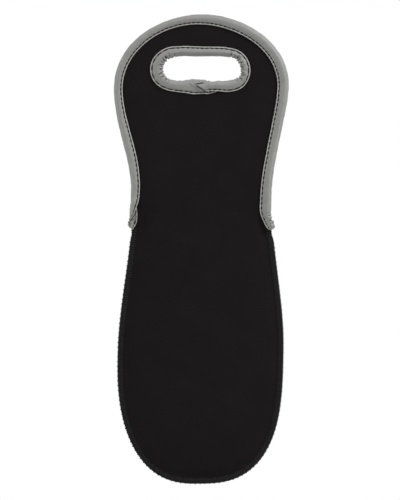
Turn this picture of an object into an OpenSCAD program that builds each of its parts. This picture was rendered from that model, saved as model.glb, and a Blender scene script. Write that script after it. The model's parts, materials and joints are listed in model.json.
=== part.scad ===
// Neoprene carrier for one bottle. Two matching laminated sheets are joined round the pouch by an
// overlocked seam. Above the seam they stand free as two carrying handles, each with a grip slot,
// and grey tape is folded over every free edge. X runs across the carrier, the front faces -Y, and
// the origin is where a peg or a hand bears: the top of the grip slots, midway between the handles.

/* [Outline] */
// Height of the rounded bottom, up to the widest level of the pouch
belly_h = 125; // [100:1:150]
// Height of the sewn sides above that, up to the crotch where the mouth begins
side_h = 111; // [90:1:135]
// Rise from the crotch to the waist, where the sheets are narrowest
waist_rise = 22; // [18:0.5:27]
// Length of the straight stretch at the waist
waist_run = 10; // [6:0.5:14]
// Rise from the waist to the line where a handle folds outward
fold_rise = 16; // [12:0.5:20]
// Rise from the fold line to the widest level of the handle
shoulder_rise = 78.4; // [62:0.2:96]
// Height of the rounded crown above that
crown_h = 66.7; // [54:0.1:80]
// Width of a sheet across the pouch
pouch_w = 152; // [124:0.5:182]
// Width of a sheet across the waist
waist_w = 126.6; // [104:0.2:152]
// Width of a sheet across the handle
handle_w = 157.6; // [130:0.2:188]

/* [Neoprene] */
// Thickness of the foam core
foam_t = 3; // [2:0.1:4]
// Thickness of each knitted skin, outside and inside
jersey_t = 0.4; // [0.3:0.05:0.6]
// Inside depth of the empty pouch at its middle
pouch_gap = 10; // [8:0.5:14]
// Inside distance between the two handles
handle_gap = 8; // [7:0.5:12]
// Distance over which a sheet swells from its seam to its full depth
bow_run = 56; // [44:1:68]

/* [Seam] */
// Width of the flat margin where the two sheets lie together
seam_w = 6; // [5:0.5:8]
// Reach of the overlock threads in from the edge
overlock_w = 4.8; // [3.6:0.2:5.8]
// Thickness of the layer of overlock threads
thread_t = 0.5; // [0.3:0.05:0.7]
// Height below the crotch over which the sheets part to let the tape in
part_h = 12; // [9:0.5:15]

/* [Edge tape] */
// Visible width of the folded tape on each face
tape_w = 10; // [8:0.2:12]
// Thickness of the tape
tape_t = 0.8; // [0.6:0.05:1]
// Distance from the tape's lip to its line of stitches
stitch_in = 1.8; // [1.4:0.1:2.2]
// Depth of the groove that the stitches pull into the tape
groove_d = 0.35; // [0.2:0.05:0.45]
// Height over which the tape curves to the side seam at the crotch
turn_h = 14; // [11:0.5:17]
// Height of the tape's wrap round the side seam below the crotch
wrap_h = 4.5; // [3.5:0.25:6]

/* [Grip slot] */
// Width of the slot cut in the neoprene
slot_w = 73.6; // [62:0.2:88]
// Height of the slot cut in the neoprene
slot_h = 25.2; // [20:0.2:30]
// Height of neoprene above the slot, which the hand carries
strap_h = 36.5; // [30:0.5:44]
// Length of the under end of the slot's tape, right of the middle
lap_under = 14.6; // [12:0.2:17.4]
// Length of the upper end of the slot's tape, left of the middle
lap_over = 4; // [3:0.5:5]
// Depth of the gathers round the slot's ends
gather_d = 0.35; // [0.2:0.05:0.45]
// Distance between gathers along the slot's edge
gather_pitch = 3.5; // [3:0.1:4.2]

/* [Fit] */
// Clearance between the tape or threads and what they wrap
fit_clear = 0.1; // [0.05:0.05:0.15]
// Gap at the fold line between a handle and the pouch
fold_gap = 0.3; // [0.25:0.05:0.4]

/* [Hidden] */

// How square the bottom is: 2 would be an ellipse
bottom_squareness = 2.65;
// How full the pouch's swell is
bow_fullness = 2.2;
// How square a fold's nose is, so that it clears the corners of what it wraps
nose_squareness = 4;
// Share of the foam's thickness that is left under the overlock threads
squeeze_share = 0.7;

// Heights of the outline's levels above the bottom of the pouch
crotch_z = belly_h + side_h;
waist_z = crotch_z + waist_rise;
waist_top_z = waist_z + waist_run;
fold_z = waist_top_z + fold_rise;
shoulder_z = fold_z + shoulder_rise;
crown_z = shoulder_z + crown_h;
slot_r = slot_h / 2;
slot_z = crown_z - strap_h - slot_r;
grip_z = slot_z + slot_r - fit_clear - tape_t;

sheet_t = foam_t + 2 * jersey_t;
tape_leg = tape_w - fit_clear - tape_t;
// Room that one folded tape needs between a sheet and the middle plane
tape_room = tape_t + 2 * fit_clear;
// Counts of steps along the outline and across a sheet
bottom_angles = [85, 77, 69, 60, 50, 40, 29, 15, 0];
side_steps = 5;
part_steps = 2;
mouth_steps = 6;
shoulder_steps = 8;
crown_steps = 28;
across_steps = 8;
turn_steps = 3;
nose_angles = [90, 45, 0, -45, -90];

black = [0.11, 0.11, 0.11];
foam_black = [0.2, 0.2, 0.2];
grey = [0.56, 0.56, 0.55];

// Outline of a sheet

function clamp(t) = max(0, min(1, t));
function smooth(t) = clamp(t) * clamp(t) * (3 - 2 * clamp(t));
function mix(a, b, t) = a + (b - a) * t;

// Half the width of a sheet at height z above the belly
function half_w(z) =
    z < waist_z ? mix(pouch_w, waist_w, smooth((z - belly_h) / (waist_z - belly_h))) / 2
                : mix(waist_w, handle_w, smooth((z - waist_top_z) / (shoulder_z - waist_top_z))) / 2;

// Right-hand edge as [x, z] points: the rounded bottom, the sewn side and the mouth's first rise
function bottom_edge() = [
    for (a = bottom_angles)
        [pouch_w / 2 * pow(cos(a), 2 / bottom_squareness),
         belly_h * (1 - pow(sin(a), 2 / bottom_squareness))]
];
function levels(from, to, steps) = [for (i = [1:steps]) mix(from, to, i / steps)];
function edge_at(zs) = [for (z = zs) [half_w(z), z]];
function sewn_edge() = concat(
    bottom_edge(),
    edge_at(levels(belly_h, crotch_z - part_h, side_steps)),
    edge_at(levels(crotch_z - part_h, crotch_z, part_steps))
);
mouth_edge = edge_at(levels(crotch_z, fold_z - fold_gap, mouth_steps));
pouch_edge = concat(sewn_edge(), mouth_edge);

// Free edge of a handle, from its right fold corner over the crown to its left one
function handle_edge() = concat(
    edge_at(concat([fold_z], levels(fold_z, shoulder_z, shoulder_steps))),
    [for (i = [1:crown_steps - 1])
        [handle_w / 2 * cos(180 * i / crown_steps), shoulder_z + crown_h * sin(180 * i / crown_steps)]],
    [for (p = reversed(edge_at(concat([fold_z], levels(fold_z, shoulder_z, shoulder_steps)))))
        [-p[0], p[1]]]
);
function reversed(list) = [for (i = [len(list) - 1:-1:0]) list[i]];

// Unit normal at point i of a run of [x, z] points, to the right of the way it runs
function run_normal(run, i) =
    let (
        way = run[min(i + 1, len(run) - 1)] - run[max(i - 1, 0)],
        unit = way / norm(way)
    )
        [unit[1], -unit[0]];

// Form of the pouch: distances in y from the middle plane, the same for front and back

// Distance from [x, z] to the stretch of edge from a to b
function to_stretch(p, a, b) =
    let (along = clamp((p - a) * (b - a) / ((b - a) * (b - a))))
        norm(p - a - along * (b - a));
whole_edge = concat([[0, pouch_edge[0][1]]], pouch_edge);
function edge_distance(p) = min([
    for (i = [0:len(whole_edge) - 2])
        to_stretch([abs(p[0]), p[1]], whole_edge[i], whole_edge[i + 1])
]);

// Share of the way, at height z, from the sewn side to the taped mouth
function mouth_share(z) = smooth((z - crotch_z + part_h) / part_h);
// Width of the flat margin along the edge: the seam's, or what the tape covers
function margin_w(z) = mix(seam_w, tape_w, mouth_share(z));

// Half of the inside gap along the edge: closed along the seam, then parting for the tape
function edge_y(z) =
    z < crotch_z ? tape_room * mouth_share(z)
                 : mix(tape_room, handle_gap / 2, smooth((z - crotch_z) / (fold_z - crotch_z)));
// Half of the inside gap on the centre line
function middle_y(z) = mix(pouch_gap, handle_gap, smooth((z - belly_h) / (fold_z - belly_h))) / 2;

// Share of the swell at point p, which starts from the flat margin
function bow_share(p) = 1 - pow(1 - clamp((edge_distance(p) - margin_w(p[1])) / bow_run), bow_fullness);
function lining_y(p) = mix(edge_y(p[1]), middle_y(p[1]), bow_share(p));

// Thickness of the foam under the threads at height z, and at any point of the sheet
function squeezed_t(z) = foam_t * mix(squeeze_share, 1, smooth((z - crotch_z) / part_h));
function foam_at(p) =
    mix(squeezed_t(p[1]), foam_t, smooth((edge_distance(p) - margin_w(p[1])) / seam_w));

// Distance of each face of the laminate from the middle plane, from the inside out
function layer_y(p, face) =
    lining_y(p) + (face > 0 ? jersey_t : 0) + (face > 1 ? foam_at(p) : 0) + (face > 2 ? jersey_t : 0);

// Grid of points over a pouch sheet: a row across it from each point of its edge, whose first and
// last steps cross the flat margin
function row_points(i) =
    let (
        half = pouch_edge[i][0],
        z = pouch_edge[i][1],
        flat = min(margin_w(z) / run_normal(pouch_edge, i)[0], half * 2 / 3)
    )
        concat(
            [[-half, z]],
            [for (j = [0:across_steps]) [mix(-1, 1, j / across_steps) * (half - flat), z]],
            [[half, z]]
        );

// Solids from grids of points

// Solid through a run of rings with the same number of points, its two ends closed by the triangles
// that end_faces lists for one ring. From the point numbered back on, the four-sided faces between
// the rings are split along their other diagonal
module ring_solid(rings, end_faces, back = undef) {
    around = len(rings[0]);
    last = (len(rings) - 1) * around;
    sides = [
        for (i = [0:len(rings) - 2])
            for (j = [0:around - 1])
                let (a = i * around + j, b = i * around + (j + 1) % around)
                    each is_num(back) && j >= back
                        ? [[a, b, a + around], [b, b + around, a + around]]
                        : [[a, b, b + around], [a, b + around, a + around]]
    ];
    first_end = [for (f = end_faces) reversed(f)];
    last_end = [for (f = end_faces) [for (k = f) k + last]];
    polyhedron(points = [for (ring = rings) each ring], faces = concat(sides, first_end, last_end));
}

// End triangles of a ring made of a row and of a second row that runs back beside it
function band_end(count) = [
    for (j = [0:count - 2])
        let (back = 2 * count - 1 - j) each [[j, j + 1, back - 1], [j, back - 1, back]]
];

// One layer of the front pouch sheet, between two faces of the laminate. Both faces are split into
// the same triangles, so that the layers lie face to face
module pouch_layer(near_face, far_face) {
    count = across_steps + 3;
    ring_solid(
        [
            for (i = [0:len(pouch_edge) - 1])
                let (row = row_points(i))
                    concat(
                        [for (p = row) [p[0], -layer_y(p, near_face), p[1]]],
                        [for (p = reversed(row)) [p[0], -layer_y(p, far_face), p[1]]]
                    )
        ],
        band_end(count),
        count
    );
}

// One layer of the front handle: a flat sheet with the grip slot through it
module handle_layer(near_y, layer_t) {
    translate([0, -near_y, 0])
        rotate([90, 0, 0])
            linear_extrude(height = layer_t)
                difference() {
                    polygon(handle_edge());
                    slot_shape();
                }
}

module slot_shape() {
    translate([0, slot_z]) {
        square([slot_w - slot_h, slot_h], center = true);
        for (side = [-1, 1])
            translate([side * (slot_w / 2 - slot_r), 0]) circle(r = slot_r, $fn = 64);
    }
}

// Folds: tape or threads wrapped round an edge as a U, and swept along that edge

// Section in [n, y]: n points out of the sheet across its edge, y from front to back. Its inside
// lies between the levels low and high and clears the edge by out. Both its legs reach in by leg,
// the groove is drawn into them, and the gather moves the rounded nose in or out
function fold_section(leg, low, high, out, thick, groove = 0, gather = 0) =
    let (middle = (low + high) / 2, reach = (high - low) / 2 + thick)
        concat(
            [[-leg, low], [out, low], [out, high], [-leg, high]],
            leg_face(leg, high + thick, groove),
            [for (a = nose_angles)
                [out - thick + (2 * thick + gather) * nose(cos(a)), middle + reach * nose(sin(a))]],
            reversed(leg_face(leg, low - thick, -groove))
        );
// Coordinate of a point on the rounded nose, from the cosine or sine of its angle
function nose(side) = sign(side) * pow(abs(side), 2 / nose_squareness);
// The outside of one leg, from its lip inwards
function leg_face(leg, y, groove) = [
    [-leg, y], [-leg + min(stitch_in, leg / 3), y - groove], [-leg + min(2 * stitch_in, leg / 2), y]
];
// The front half of such a fold round both sheets, with as many points in the same order. Its one leg
// lies below low, and it ends in a flat face on the middle plane
function half_fold_section(leg, low, high, out, thick, groove = 0) = concat(
    [[-leg, low], [out, low], [out, high], [out, high / 2]],
    [for (share = [0, 1 / 3, 2 / 3]) [out + share * thick, 0]],
    [for (a = nose_angles)
        [out - thick + 2 * thick * nose(cos((90 - a) / 2)), (low - thick) * nose(sin((90 - a) / 2))]],
    reversed(leg_face(leg, low - thick, -groove))
);
// The end triangles of either section: fans from its inside corners to its outside points, past one
// triangle at each lip
fold_end = concat(
    [[3, 4, 5], [2, 3, 5]],
    [for (k = [5:8]) [2, k, k + 1]],
    [[2, 9, 1]],
    [for (k = [9:12]) [1, k, k + 1]],
    [[1, 13, 0], [13, 14, 0]]
);

// The section of tape on the front handle; the lift holds it clear of another layer of tape
function handle_section(lift = 0, gather = 0) =
    let (clear = fit_clear + lift)
        fold_section(tape_leg, -handle_gap / 2 - sheet_t - clear, -handle_gap / 2 + clear,
                     clear, tape_t, groove_d, gather);

// Normal at point i of a run of tape, whose two ends are cut level
function tape_normal(run, i) =
    i > 0 && i < len(run) - 1 ? run_normal(run, i) : [sign(run[i][0]), 0];

// A section set up at one point of an edge
function set_section(section, at, normal) = [
    for (q = section) [at[0] + q[0] * normal[0], q[1], at[1] + q[0] * normal[1]]
];

module front_edge_tape_form() {
    run = handle_edge();
    ring_solid(
        [for (i = [0:len(run) - 1]) set_section(handle_section(), run[i], tape_normal(run, i))],
        fold_end
    );
}

// The slot's tape is one strip: it starts right of the middle below the slot, runs round the slot
// clockwise as seen from the front, and its end laps over its start
gathers = round(PI * slot_r / gather_pitch);
slot_run = slot_w / 2 - slot_r;
lift_run = 2 * tape_t;
full_lift = tape_t + fit_clear;
function slot_end(side, from) = [
    for (i = [0:2 * gathers])
        let (a = from - 90 * i / gathers)
            [[side * slot_run + slot_r * cos(a), slot_z + slot_r * sin(a)],
             [-cos(a), -sin(a)], 0, i % 2 == 0 ? 0 : gather_d]
];
function slot_level(x, side, lift) = [[x, slot_z + side * slot_r], [0, -side], lift, 0];
function slot_stations() = concat(
    [for (x = [lap_under, mix(lap_under, -slot_run, 1 / 2)]) slot_level(x, -1, 0)],
    slot_end(-1, 270),
    [for (x = [-slot_run / 2, 0, slot_run / 2]) slot_level(x, 1, 0)],
    slot_end(1, 90),
    [slot_level(lap_under + 2 * lift_run, -1, 0),
     slot_level(lap_under + lift_run, -1, full_lift),
     slot_level(-lap_over, -1, full_lift)]
);

module front_slot_tape_form() {
    ring_solid([for (s = slot_stations()) set_section(handle_section(s[2], s[3]), s[0], s[1])], fold_end);
}

// Length of the tape's leg near the crotch, where its lip curves round to the side seam
turn_top_z = crotch_z - wrap_h + turn_h;
function crotch_leg(z) =
    let (down = clamp((turn_top_z - z) / turn_h))
        max(tape_t, tape_leg * sqrt(1 - down * down));

// Distance from the middle plane to the outside of a sheet along its edge
function seam_y(z) = edge_y(z) + 2 * jersey_t + squeezed_t(z);

// Clearance round the sheet's edge: over the seam's threads below the crotch, close above it
over_threads = 2 * fit_clear + thread_t;
function tape_clear(z) = mix(over_threads, fit_clear, smooth((z - crotch_z) / part_h));

// Front half of the right-hand tape at the crotch. It wraps the side seam up to the crotch, and from
// there it is folded over the mouth's edge up to the fold line
function crotch_section(z) =
    let (
        clear = tape_clear(z),
        leg = crotch_leg(z),
        low = -seam_y(z) - clear,
        high = -edge_y(z) + fit_clear
    )
        z < crotch_z ? half_fold_section(leg, low, high, clear, tape_t, groove_d)
                     : fold_section(leg, low, high, clear, tape_t, groove_d);
module crotch_half_form() {
    wrap_run = edge_at([
        for (i = [0:turn_steps]) mix(crotch_z - wrap_h, crotch_z - fit_clear / 2, i / turn_steps)
    ]);
    run = concat(wrap_run, edge_at([crotch_z]), mouth_edge);
    ring_solid(
        [
            for (i = [0:len(run) - 1])
                set_section(crotch_section(run[i][1]), run[i], tape_normal(run, i))
        ],
        fold_end
    );
}

module crotch_tape_form() {
    crotch_half_form();
    mirror([0, 1, 0]) crotch_half_form();
}

// Sub-parts

module front_pouch_lining() {
    color(black) pouch_layer(0, 1);
}
module front_pouch_foam() {
    color(foam_black) pouch_layer(1, 2);
}
module front_pouch_face() {
    color(black) pouch_layer(2, 3);
}
module front_handle_lining() {
    color(black) handle_layer(handle_gap / 2, jersey_t);
}
module front_handle_foam() {
    color(foam_black) handle_layer(handle_gap / 2 + jersey_t, foam_t);
}
module front_handle_face() {
    color(black) handle_layer(handle_gap / 2 + jersey_t + foam_t, jersey_t);
}
module front_edge_tape() {
    color(grey) front_edge_tape_form();
}
module front_slot_tape() {
    color(grey) front_slot_tape_form();
}
module right_crotch_tape() {
    color(grey) crotch_tape_form();
}
// Overlock threads round the raw edges of both sheets, from one crotch under the pouch to the other
module side_seam() {
    right_run = concat([for (p = sewn_edge()) if (p[1] < crotch_z - tape_t) p],
                       edge_at([crotch_z - fit_clear]));
    run = concat(reversed([for (p = right_run) [-p[0], p[1]]]), right_run);
    color(black)
        ring_solid(
            [
                for (i = [0:len(run) - 1])
                    let (wall = seam_y(run[i][1]) + fit_clear)
                        set_section(
                            fold_section(overlock_w, -wall, wall, fit_clear, thread_t),
                            run[i], run_normal(run, i))
            ],
            fold_end
        );
}

module at_grip() {
    translate([0, 0, -grip_z]) children();
}
module at_back() {
    at_grip() mirror([0, 1, 0]) children();
}

at_grip() front_pouch_face();
at_grip() front_pouch_foam();
at_grip() front_pouch_lining();
at_back() front_pouch_face();  // back_pouch_face
at_back() front_pouch_foam();  // back_pouch_foam
at_back() front_pouch_lining();  // back_pouch_lining
at_grip() side_seam();
at_grip() mirror([1, 0, 0]) right_crotch_tape();  // left_crotch_tape
at_grip() right_crotch_tape();
at_grip() front_handle_face();
at_grip() front_handle_foam();
at_grip() front_handle_lining();
at_grip() front_edge_tape();
at_grip() front_slot_tape();
at_back() front_handle_face();  // back_handle_face
at_back() front_handle_foam();  // back_handle_foam
at_back() front_handle_lining();  // back_handle_lining
at_back() front_edge_tape();  // back_edge_tape
at_back() front_slot_tape();  // back_slot_tape
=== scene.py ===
"""Looks of the neoprene carrier for one bottle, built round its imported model.

Two matching sheets of laminate are joined round the pouch by an overlocked seam. Above the seam they
stand free as two handles, each with a grip slot, and grey tape is folded over every free edge. Heights
are measured from the bottom of the pouch until a piece is finished, which moves it to the grip.
"""

import json
import logging
import math
from collections.abc import Callable
from dataclasses import dataclass, field, replace
from enum import Enum

import bpy
import numpy as np
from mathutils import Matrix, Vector
from mathutils.geometry import delaunay_2d_cdt


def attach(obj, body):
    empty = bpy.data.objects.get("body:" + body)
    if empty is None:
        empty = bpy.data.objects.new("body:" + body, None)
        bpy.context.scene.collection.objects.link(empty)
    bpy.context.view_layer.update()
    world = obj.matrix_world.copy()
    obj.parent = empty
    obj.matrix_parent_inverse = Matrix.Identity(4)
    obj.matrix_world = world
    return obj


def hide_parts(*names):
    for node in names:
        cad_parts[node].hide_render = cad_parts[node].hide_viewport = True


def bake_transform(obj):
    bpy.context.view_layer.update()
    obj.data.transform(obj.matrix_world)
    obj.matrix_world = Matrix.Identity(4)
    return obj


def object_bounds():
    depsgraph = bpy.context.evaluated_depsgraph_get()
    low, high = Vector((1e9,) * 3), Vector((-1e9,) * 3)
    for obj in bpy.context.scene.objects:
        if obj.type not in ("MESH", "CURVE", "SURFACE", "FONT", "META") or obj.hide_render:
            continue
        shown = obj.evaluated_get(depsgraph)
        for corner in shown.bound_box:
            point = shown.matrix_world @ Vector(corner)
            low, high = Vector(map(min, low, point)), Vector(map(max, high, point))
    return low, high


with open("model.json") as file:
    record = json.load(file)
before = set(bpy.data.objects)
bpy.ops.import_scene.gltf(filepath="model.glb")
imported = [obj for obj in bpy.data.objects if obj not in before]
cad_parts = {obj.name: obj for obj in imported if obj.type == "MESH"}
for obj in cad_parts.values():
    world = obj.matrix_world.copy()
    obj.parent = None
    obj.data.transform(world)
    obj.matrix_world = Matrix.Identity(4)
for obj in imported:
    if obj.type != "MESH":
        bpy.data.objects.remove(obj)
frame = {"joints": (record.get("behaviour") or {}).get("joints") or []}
CAD_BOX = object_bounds()

LOG = logging.getLogger("carrier")
MM = 0.001
GRIP_HEIGHT = 391.7 * MM
SHARP_ANGLE = 55.0
Array = np.ndarray
Pair = tuple[np.ndarray, np.ndarray]
Socket = bpy.types.NodeSocket


class Side(Enum):
    """A sheet of the carrier, by the sign of its place through the carrier."""

    FRONT = -1
    BACK = 1

    @property
    def word(self) -> str:
        """The side's name, as the pieces use it."""
        return self.name.lower()


class Hand(Enum):
    """A side edge of the carrier as seen from the front, by the sign of its place across."""

    LEFT = -1
    RIGHT = 1


def smooth(share: Array) -> Array:
    """Ease a share from 0 to 1, level at both ends."""
    held = np.clip(share, 0, 1)
    return held * held * (3 - 2 * held)


def mix(low: Array, high: Array, share: Array) -> Array:
    """Go from low to high by a share."""
    return low + (high - low) * share


def hump(place: Array, centre: float, reach: float) -> Array:
    """A round rise of 1 at its centre that dies away over its reach."""
    return np.exp(-(((place - centre) / reach) ** 2))


def wander(place: Array, length: float, seed: float) -> Array:
    """A slow unevenness between -1 and 1 along a run, the same each time."""
    turns = 2 * math.pi * place / length
    return (
        0.5 * np.sin(turns + seed)
        + 0.3 * np.sin(1.7 * turns + 2.3 * seed)
        + 0.2 * np.sin(2.9 * turns + 4.1 * seed)
    )


def waves(share: Array, weights: tuple[float, ...]) -> Array:
    """Slow unevenness along a run, from the weights of its waves in millimetres."""
    return MM * sum(weight * np.cos(math.pi * turn * share) for turn, weight in enumerate(weights))


def lengths_along(points: Array) -> Array:
    """Distance along a run of points from its first one."""
    return np.concatenate([[0], np.cumsum(np.linalg.norm(np.diff(points, axis=0), axis=1))])


Knots = tuple[tuple[float, float], ...]


def read_knots(knots: Knots, place: Array) -> Array:
    """Read a smooth line through a few measured places.

    Args:
        knots: Pairs of a place in millimetres and the value there, by rising place.
        place: Where it is read, in metres.

    Returns:
        The values, held level beyond both ends.
    """
    places, values = np.array(knots).T
    places = places * MM
    slopes = np.gradient(values, places)
    held = np.clip(place, places[0], places[-1])
    left = np.clip(np.searchsorted(places, held) - 1, 0, len(places) - 2)
    width = places[left + 1] - places[left]
    share = (held - places[left]) / width
    start = (1 + 2 * share) * (1 - share) ** 2 * values[left]
    start += share * (1 - share) ** 2 * width * slopes[left]
    finish = share**2 * (3 - 2 * share) * values[left + 1]
    return start + finish - share**2 * (1 - share) * width * slopes[left + 1]


@dataclass(frozen=True)
class Rise:
    """A round rise, or a dip where its height is below zero.

    Attributes:
        height: Its height.
        centre: Its place, in millimetres.
        reach: How far from there it has nearly died away, in millimetres.
    """

    height: float
    centre: float
    reach: float

    def at(self, place: Array) -> Array:
        """Its height at some places in metres."""
        return self.height * hump(place, self.centre * MM, self.reach * MM)


@dataclass(frozen=True)
class Creases:
    """Short creases that run inward from the nose of a tape, no two of them quite alike.

    Attributes:
        marks: The place and the depth of each crease, in millimetres.
        reach: Half the width of a crease.
        length: How far a crease runs in.
        notch_reach: Half the width of the notch that a crease makes in the nose.
        lean: Most by which a crease slants.
        uneven: How much its depth comes and goes on its way in.
        first_spot: Where on its way in it is deepest.
        spot_pitch: Distance to its next deep spot.
        pitch_spread: Most by which that differs between creases.
        width_spread: Share by which their widths differ.
        length_spread: Share by which their lengths differ.
        fade: How soon a crease dies away at its inner end.
    """

    marks: Knots = ()
    reach: float = 0.5 * MM
    length: float = 4.8 * MM
    notch_reach: float = 0.75 * MM
    lean: float = 0.3
    uneven: float = 0.3
    first_spot: float = 1.2 * MM
    spot_pitch: float = 2.6 * MM
    pitch_spread: float = 0.4 * MM
    width_spread: float = 0.35
    length_spread: float = 0.4
    fade: float = 1.4

    def depth(self, along: Array, inward: Array) -> Array:
        """How deep the creases are.

        Args:
            along: Places along the run.
            inward: Distances of the points from the nose.

        Returns:
            The depth at each point.
        """
        deep = np.zeros(len(along))
        for number, (place, depth) in enumerate(self.marks):
            slant = self.lean * math.sin(2.1 * number)
            pitch = self.spot_pitch + self.pitch_spread * math.sin(number)
            spots = 1 - self.uneven + self.uneven * np.cos(2 * math.pi * (inward - self.first_spot) / pitch)
            width = self.reach * (1 + self.width_spread * math.sin(1.3 * number))
            far = self.length * (1 + self.length_spread * math.sin(2.7 * number + 1))
            across = hump(along, place * MM + slant * inward, width)
            deep += depth * MM * spots * across * smooth(self.fade * (1 - inward / far))
        return deep

    def notch(self, along: Array) -> Array:
        """How far the creases draw the nose in at places along the run."""
        notches = (depth * hump(along, place * MM, self.notch_reach) for place, depth in self.marks)
        return MM * sum(notches, 0 * along)


class Run:
    """A line along an edge of a sheet, in its plane, where places are found by length.

    Args:
        points: The line as close [x, z] points.
        outward: 1 if the outside of the sheet lies right of the way it runs, or -1.
    """

    def __init__(self, points: Array, outward: int = 1) -> None:
        """Measure the line and find its normals."""
        self.points = points
        self.along = lengths_along(points)
        way = np.gradient(points, self.along, axis=0)
        way /= np.linalg.norm(way, axis=1)[:, None]
        self.normals = outward * np.stack([way[:, 1], -way[:, 0]], axis=1)

    @property
    def length(self) -> float:
        """The whole length of the line."""
        return float(self.along[-1])

    def place(self, along: Array) -> Array:
        """The [x, z] points at some lengths along the line."""
        return np.stack([np.interp(along, self.along, self.points[:, i]) for i in (0, 1)], axis=-1)

    def normal(self, along: Array) -> Array:
        """The outward normals at some lengths along the line."""
        found = np.stack([np.interp(along, self.along, self.normals[:, i]) for i in (0, 1)], axis=-1)
        return found / np.linalg.norm(found, axis=-1, keepdims=True)

    def off(self, along: Array, out: Array) -> Array:
        """The [x, z] points at some lengths along the line and distances out of it."""
        return self.place(along) + np.asarray(out)[..., None] * self.normal(along)

    def off_at(self, along: Array, out: Array, through: Array) -> Array:
        """The same as [x, y, z] points, at some places through the carrier."""
        flat = self.off(along, out)
        return np.stack([flat[..., 0], through, flat[..., 1]], axis=-1)

    def steps(self, step: float) -> Array:
        """Even lengths along the whole line, about a step apart."""
        return np.linspace(0, self.length, max(2, round(self.length / step)) + 1)


@dataclass(frozen=True)
class Outline:
    """Cut edge of one sheet: a rounded bottom, sewn sides, a waist and a rounded handle."""

    belly_h: float = 125 * MM
    crotch: float = 236 * MM
    waist: float = 258 * MM
    waist_top: float = 268 * MM
    fold: float = 284 * MM
    shoulder: float = 362.4 * MM
    crown_h: float = 66.7 * MM
    pouch_w: float = 152 * MM
    waist_w: float = 126.6 * MM
    handle_w: float = 157.6 * MM
    squareness: float = 2.65
    fine: float = 0.25 * MM
    crown_steps: int = 900
    bottom_steps: int = 700
    settle: float = 18 * MM
    tuck: Rise = Rise(0.85, 6, 4.5)
    free_waves: tuple[float, ...] = (0.3, 0.3, -0.2, 0.2, 0, -0.2, 0.3, 0.1, -0.1, 0.3, -0.2, 0.2, 0.1)
    sewn_waves: tuple[float, ...] = (-0.5, 0.4, 0.2, -0.8, -0.2, -0.2, 0.4, 0.1, 0, 0.1, 0, -0.1)

    def half_width(self, height: Array) -> Array:
        """Half the sheet's width at heights from the belly to the shoulder."""
        to_waist = smooth((height - self.belly_h) / (self.waist - self.belly_h))
        to_shoulder = smooth((height - self.waist_top) / (self.shoulder - self.waist_top))
        lower = mix(self.pouch_w, self.waist_w, to_waist)
        upper = mix(self.waist_w, self.handle_w, to_shoulder)
        return np.where(height < self.waist, lower, upper) / 2

    def side_points(self, low: float, high: float) -> Array:
        """Close points of the right-hand edge between two heights, going up."""
        height = np.linspace(low, high, round((high - low) / self.fine) + 1)
        return np.stack([self.half_width(height), height], axis=1)

    def free_run(self) -> Run:
        """The free edge: from the right crotch over the handle to the left crotch."""
        side = self.side_points(self.crotch, self.shoulder)
        turn = np.linspace(0, math.pi, self.crown_steps)[1:-1]
        across = self.handle_w / 2 * np.cos(turn)
        crown = np.stack([across, self.shoulder + self.crown_h * np.sin(turn)], axis=1)
        return self.uneven(Run(np.concatenate([side, crown, side[::-1] * [-1, 1]])), self.free_waves, -1)

    def sewn_run(self) -> Run:
        """The sewn edge: from the left crotch round the bottom to the right crotch."""
        power = 2 / self.squareness
        turn = np.linspace(math.pi / 2, 0, self.bottom_steps)
        across = self.pouch_w / 2 * np.cos(turn) ** power
        bottom = np.stack([across, self.belly_h * (1 - np.sin(turn) ** power)], axis=1)
        bottom[0, 0] = 0
        right = np.concatenate([bottom, self.side_points(self.belly_h, self.crotch)[1:]])
        run = self.uneven(Run(np.concatenate([right[:0:-1] * [-1, 1], right])), self.sewn_waves, 1)
        near = np.minimum(run.along, run.length - run.along)
        return Run(run.points - MM * self.tuck.at(near)[:, None] * run.normals)

    def uneven(self, run: Run, weights: tuple[float, ...], way: int) -> Run:
        """Move an edge out and in as hand cutting does, but not at the crotches.

        Args:
            run: The drawn edge.
            weights: Its unevenness from the left crotch to the right one.
            way: 1 if the run starts at the left crotch, or -1.

        Returns:
            The edge as cut.
        """
        share = run.along / run.length if way > 0 else 1 - run.along / run.length
        held = smooth(np.minimum(run.along, run.length - run.along) / self.settle)
        return Run(run.points + (held * waves(share, weights))[:, None] * run.normals)

    def loop(self, step: float) -> Array:
        """The whole cut edge as a closed loop of points about a step apart."""
        sewn, free = self.sewn_run(), self.free_run()
        return np.concatenate([sewn.place(sewn.steps(step))[:-1], free.place(free.steps(step))[:-1]])


@dataclass(frozen=True)
class Slot:
    """Grip slot cut through a handle: straight above and below, with round ends."""

    width: float = 73.6 * MM
    height: float = 25.2 * MM
    middle: float = 380.0 * MM
    room: float = 1.5 * MM
    end_steps: int = 160
    fine: float = 0.25 * MM

    @property
    def radius(self) -> float:
        """Radius of the slot's round ends."""
        return self.height / 2

    @property
    def reach(self) -> float:
        """Distance of the centre of each round end from the middle."""
        return self.width / 2 - self.radius

    def run_between(self, start: float, finish: float) -> Run:
        """Once round the cut edge, clockwise as the front is seen, from one place below it to another."""
        turn = np.linspace(0, math.pi, self.end_steps)
        left = np.stack([-self.reach - self.radius * np.sin(turn), -self.radius * np.cos(turn)], axis=1)
        right = -left
        ends = [np.array([[x, -self.radius]]) for x in (start, finish)]
        drawn = Run(np.concatenate([ends[0], left, right, ends[1]]) + [0, self.middle])
        return Run(drawn.place(drawn.steps(self.fine)))

    def loop(self, step: float) -> Array:
        """The cut in the sheet, a little larger than the taped edge, as points about a step apart."""
        run = self.run_between(0, 0)
        return run.off(run.steps(step), -self.room)[:-1]


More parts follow.
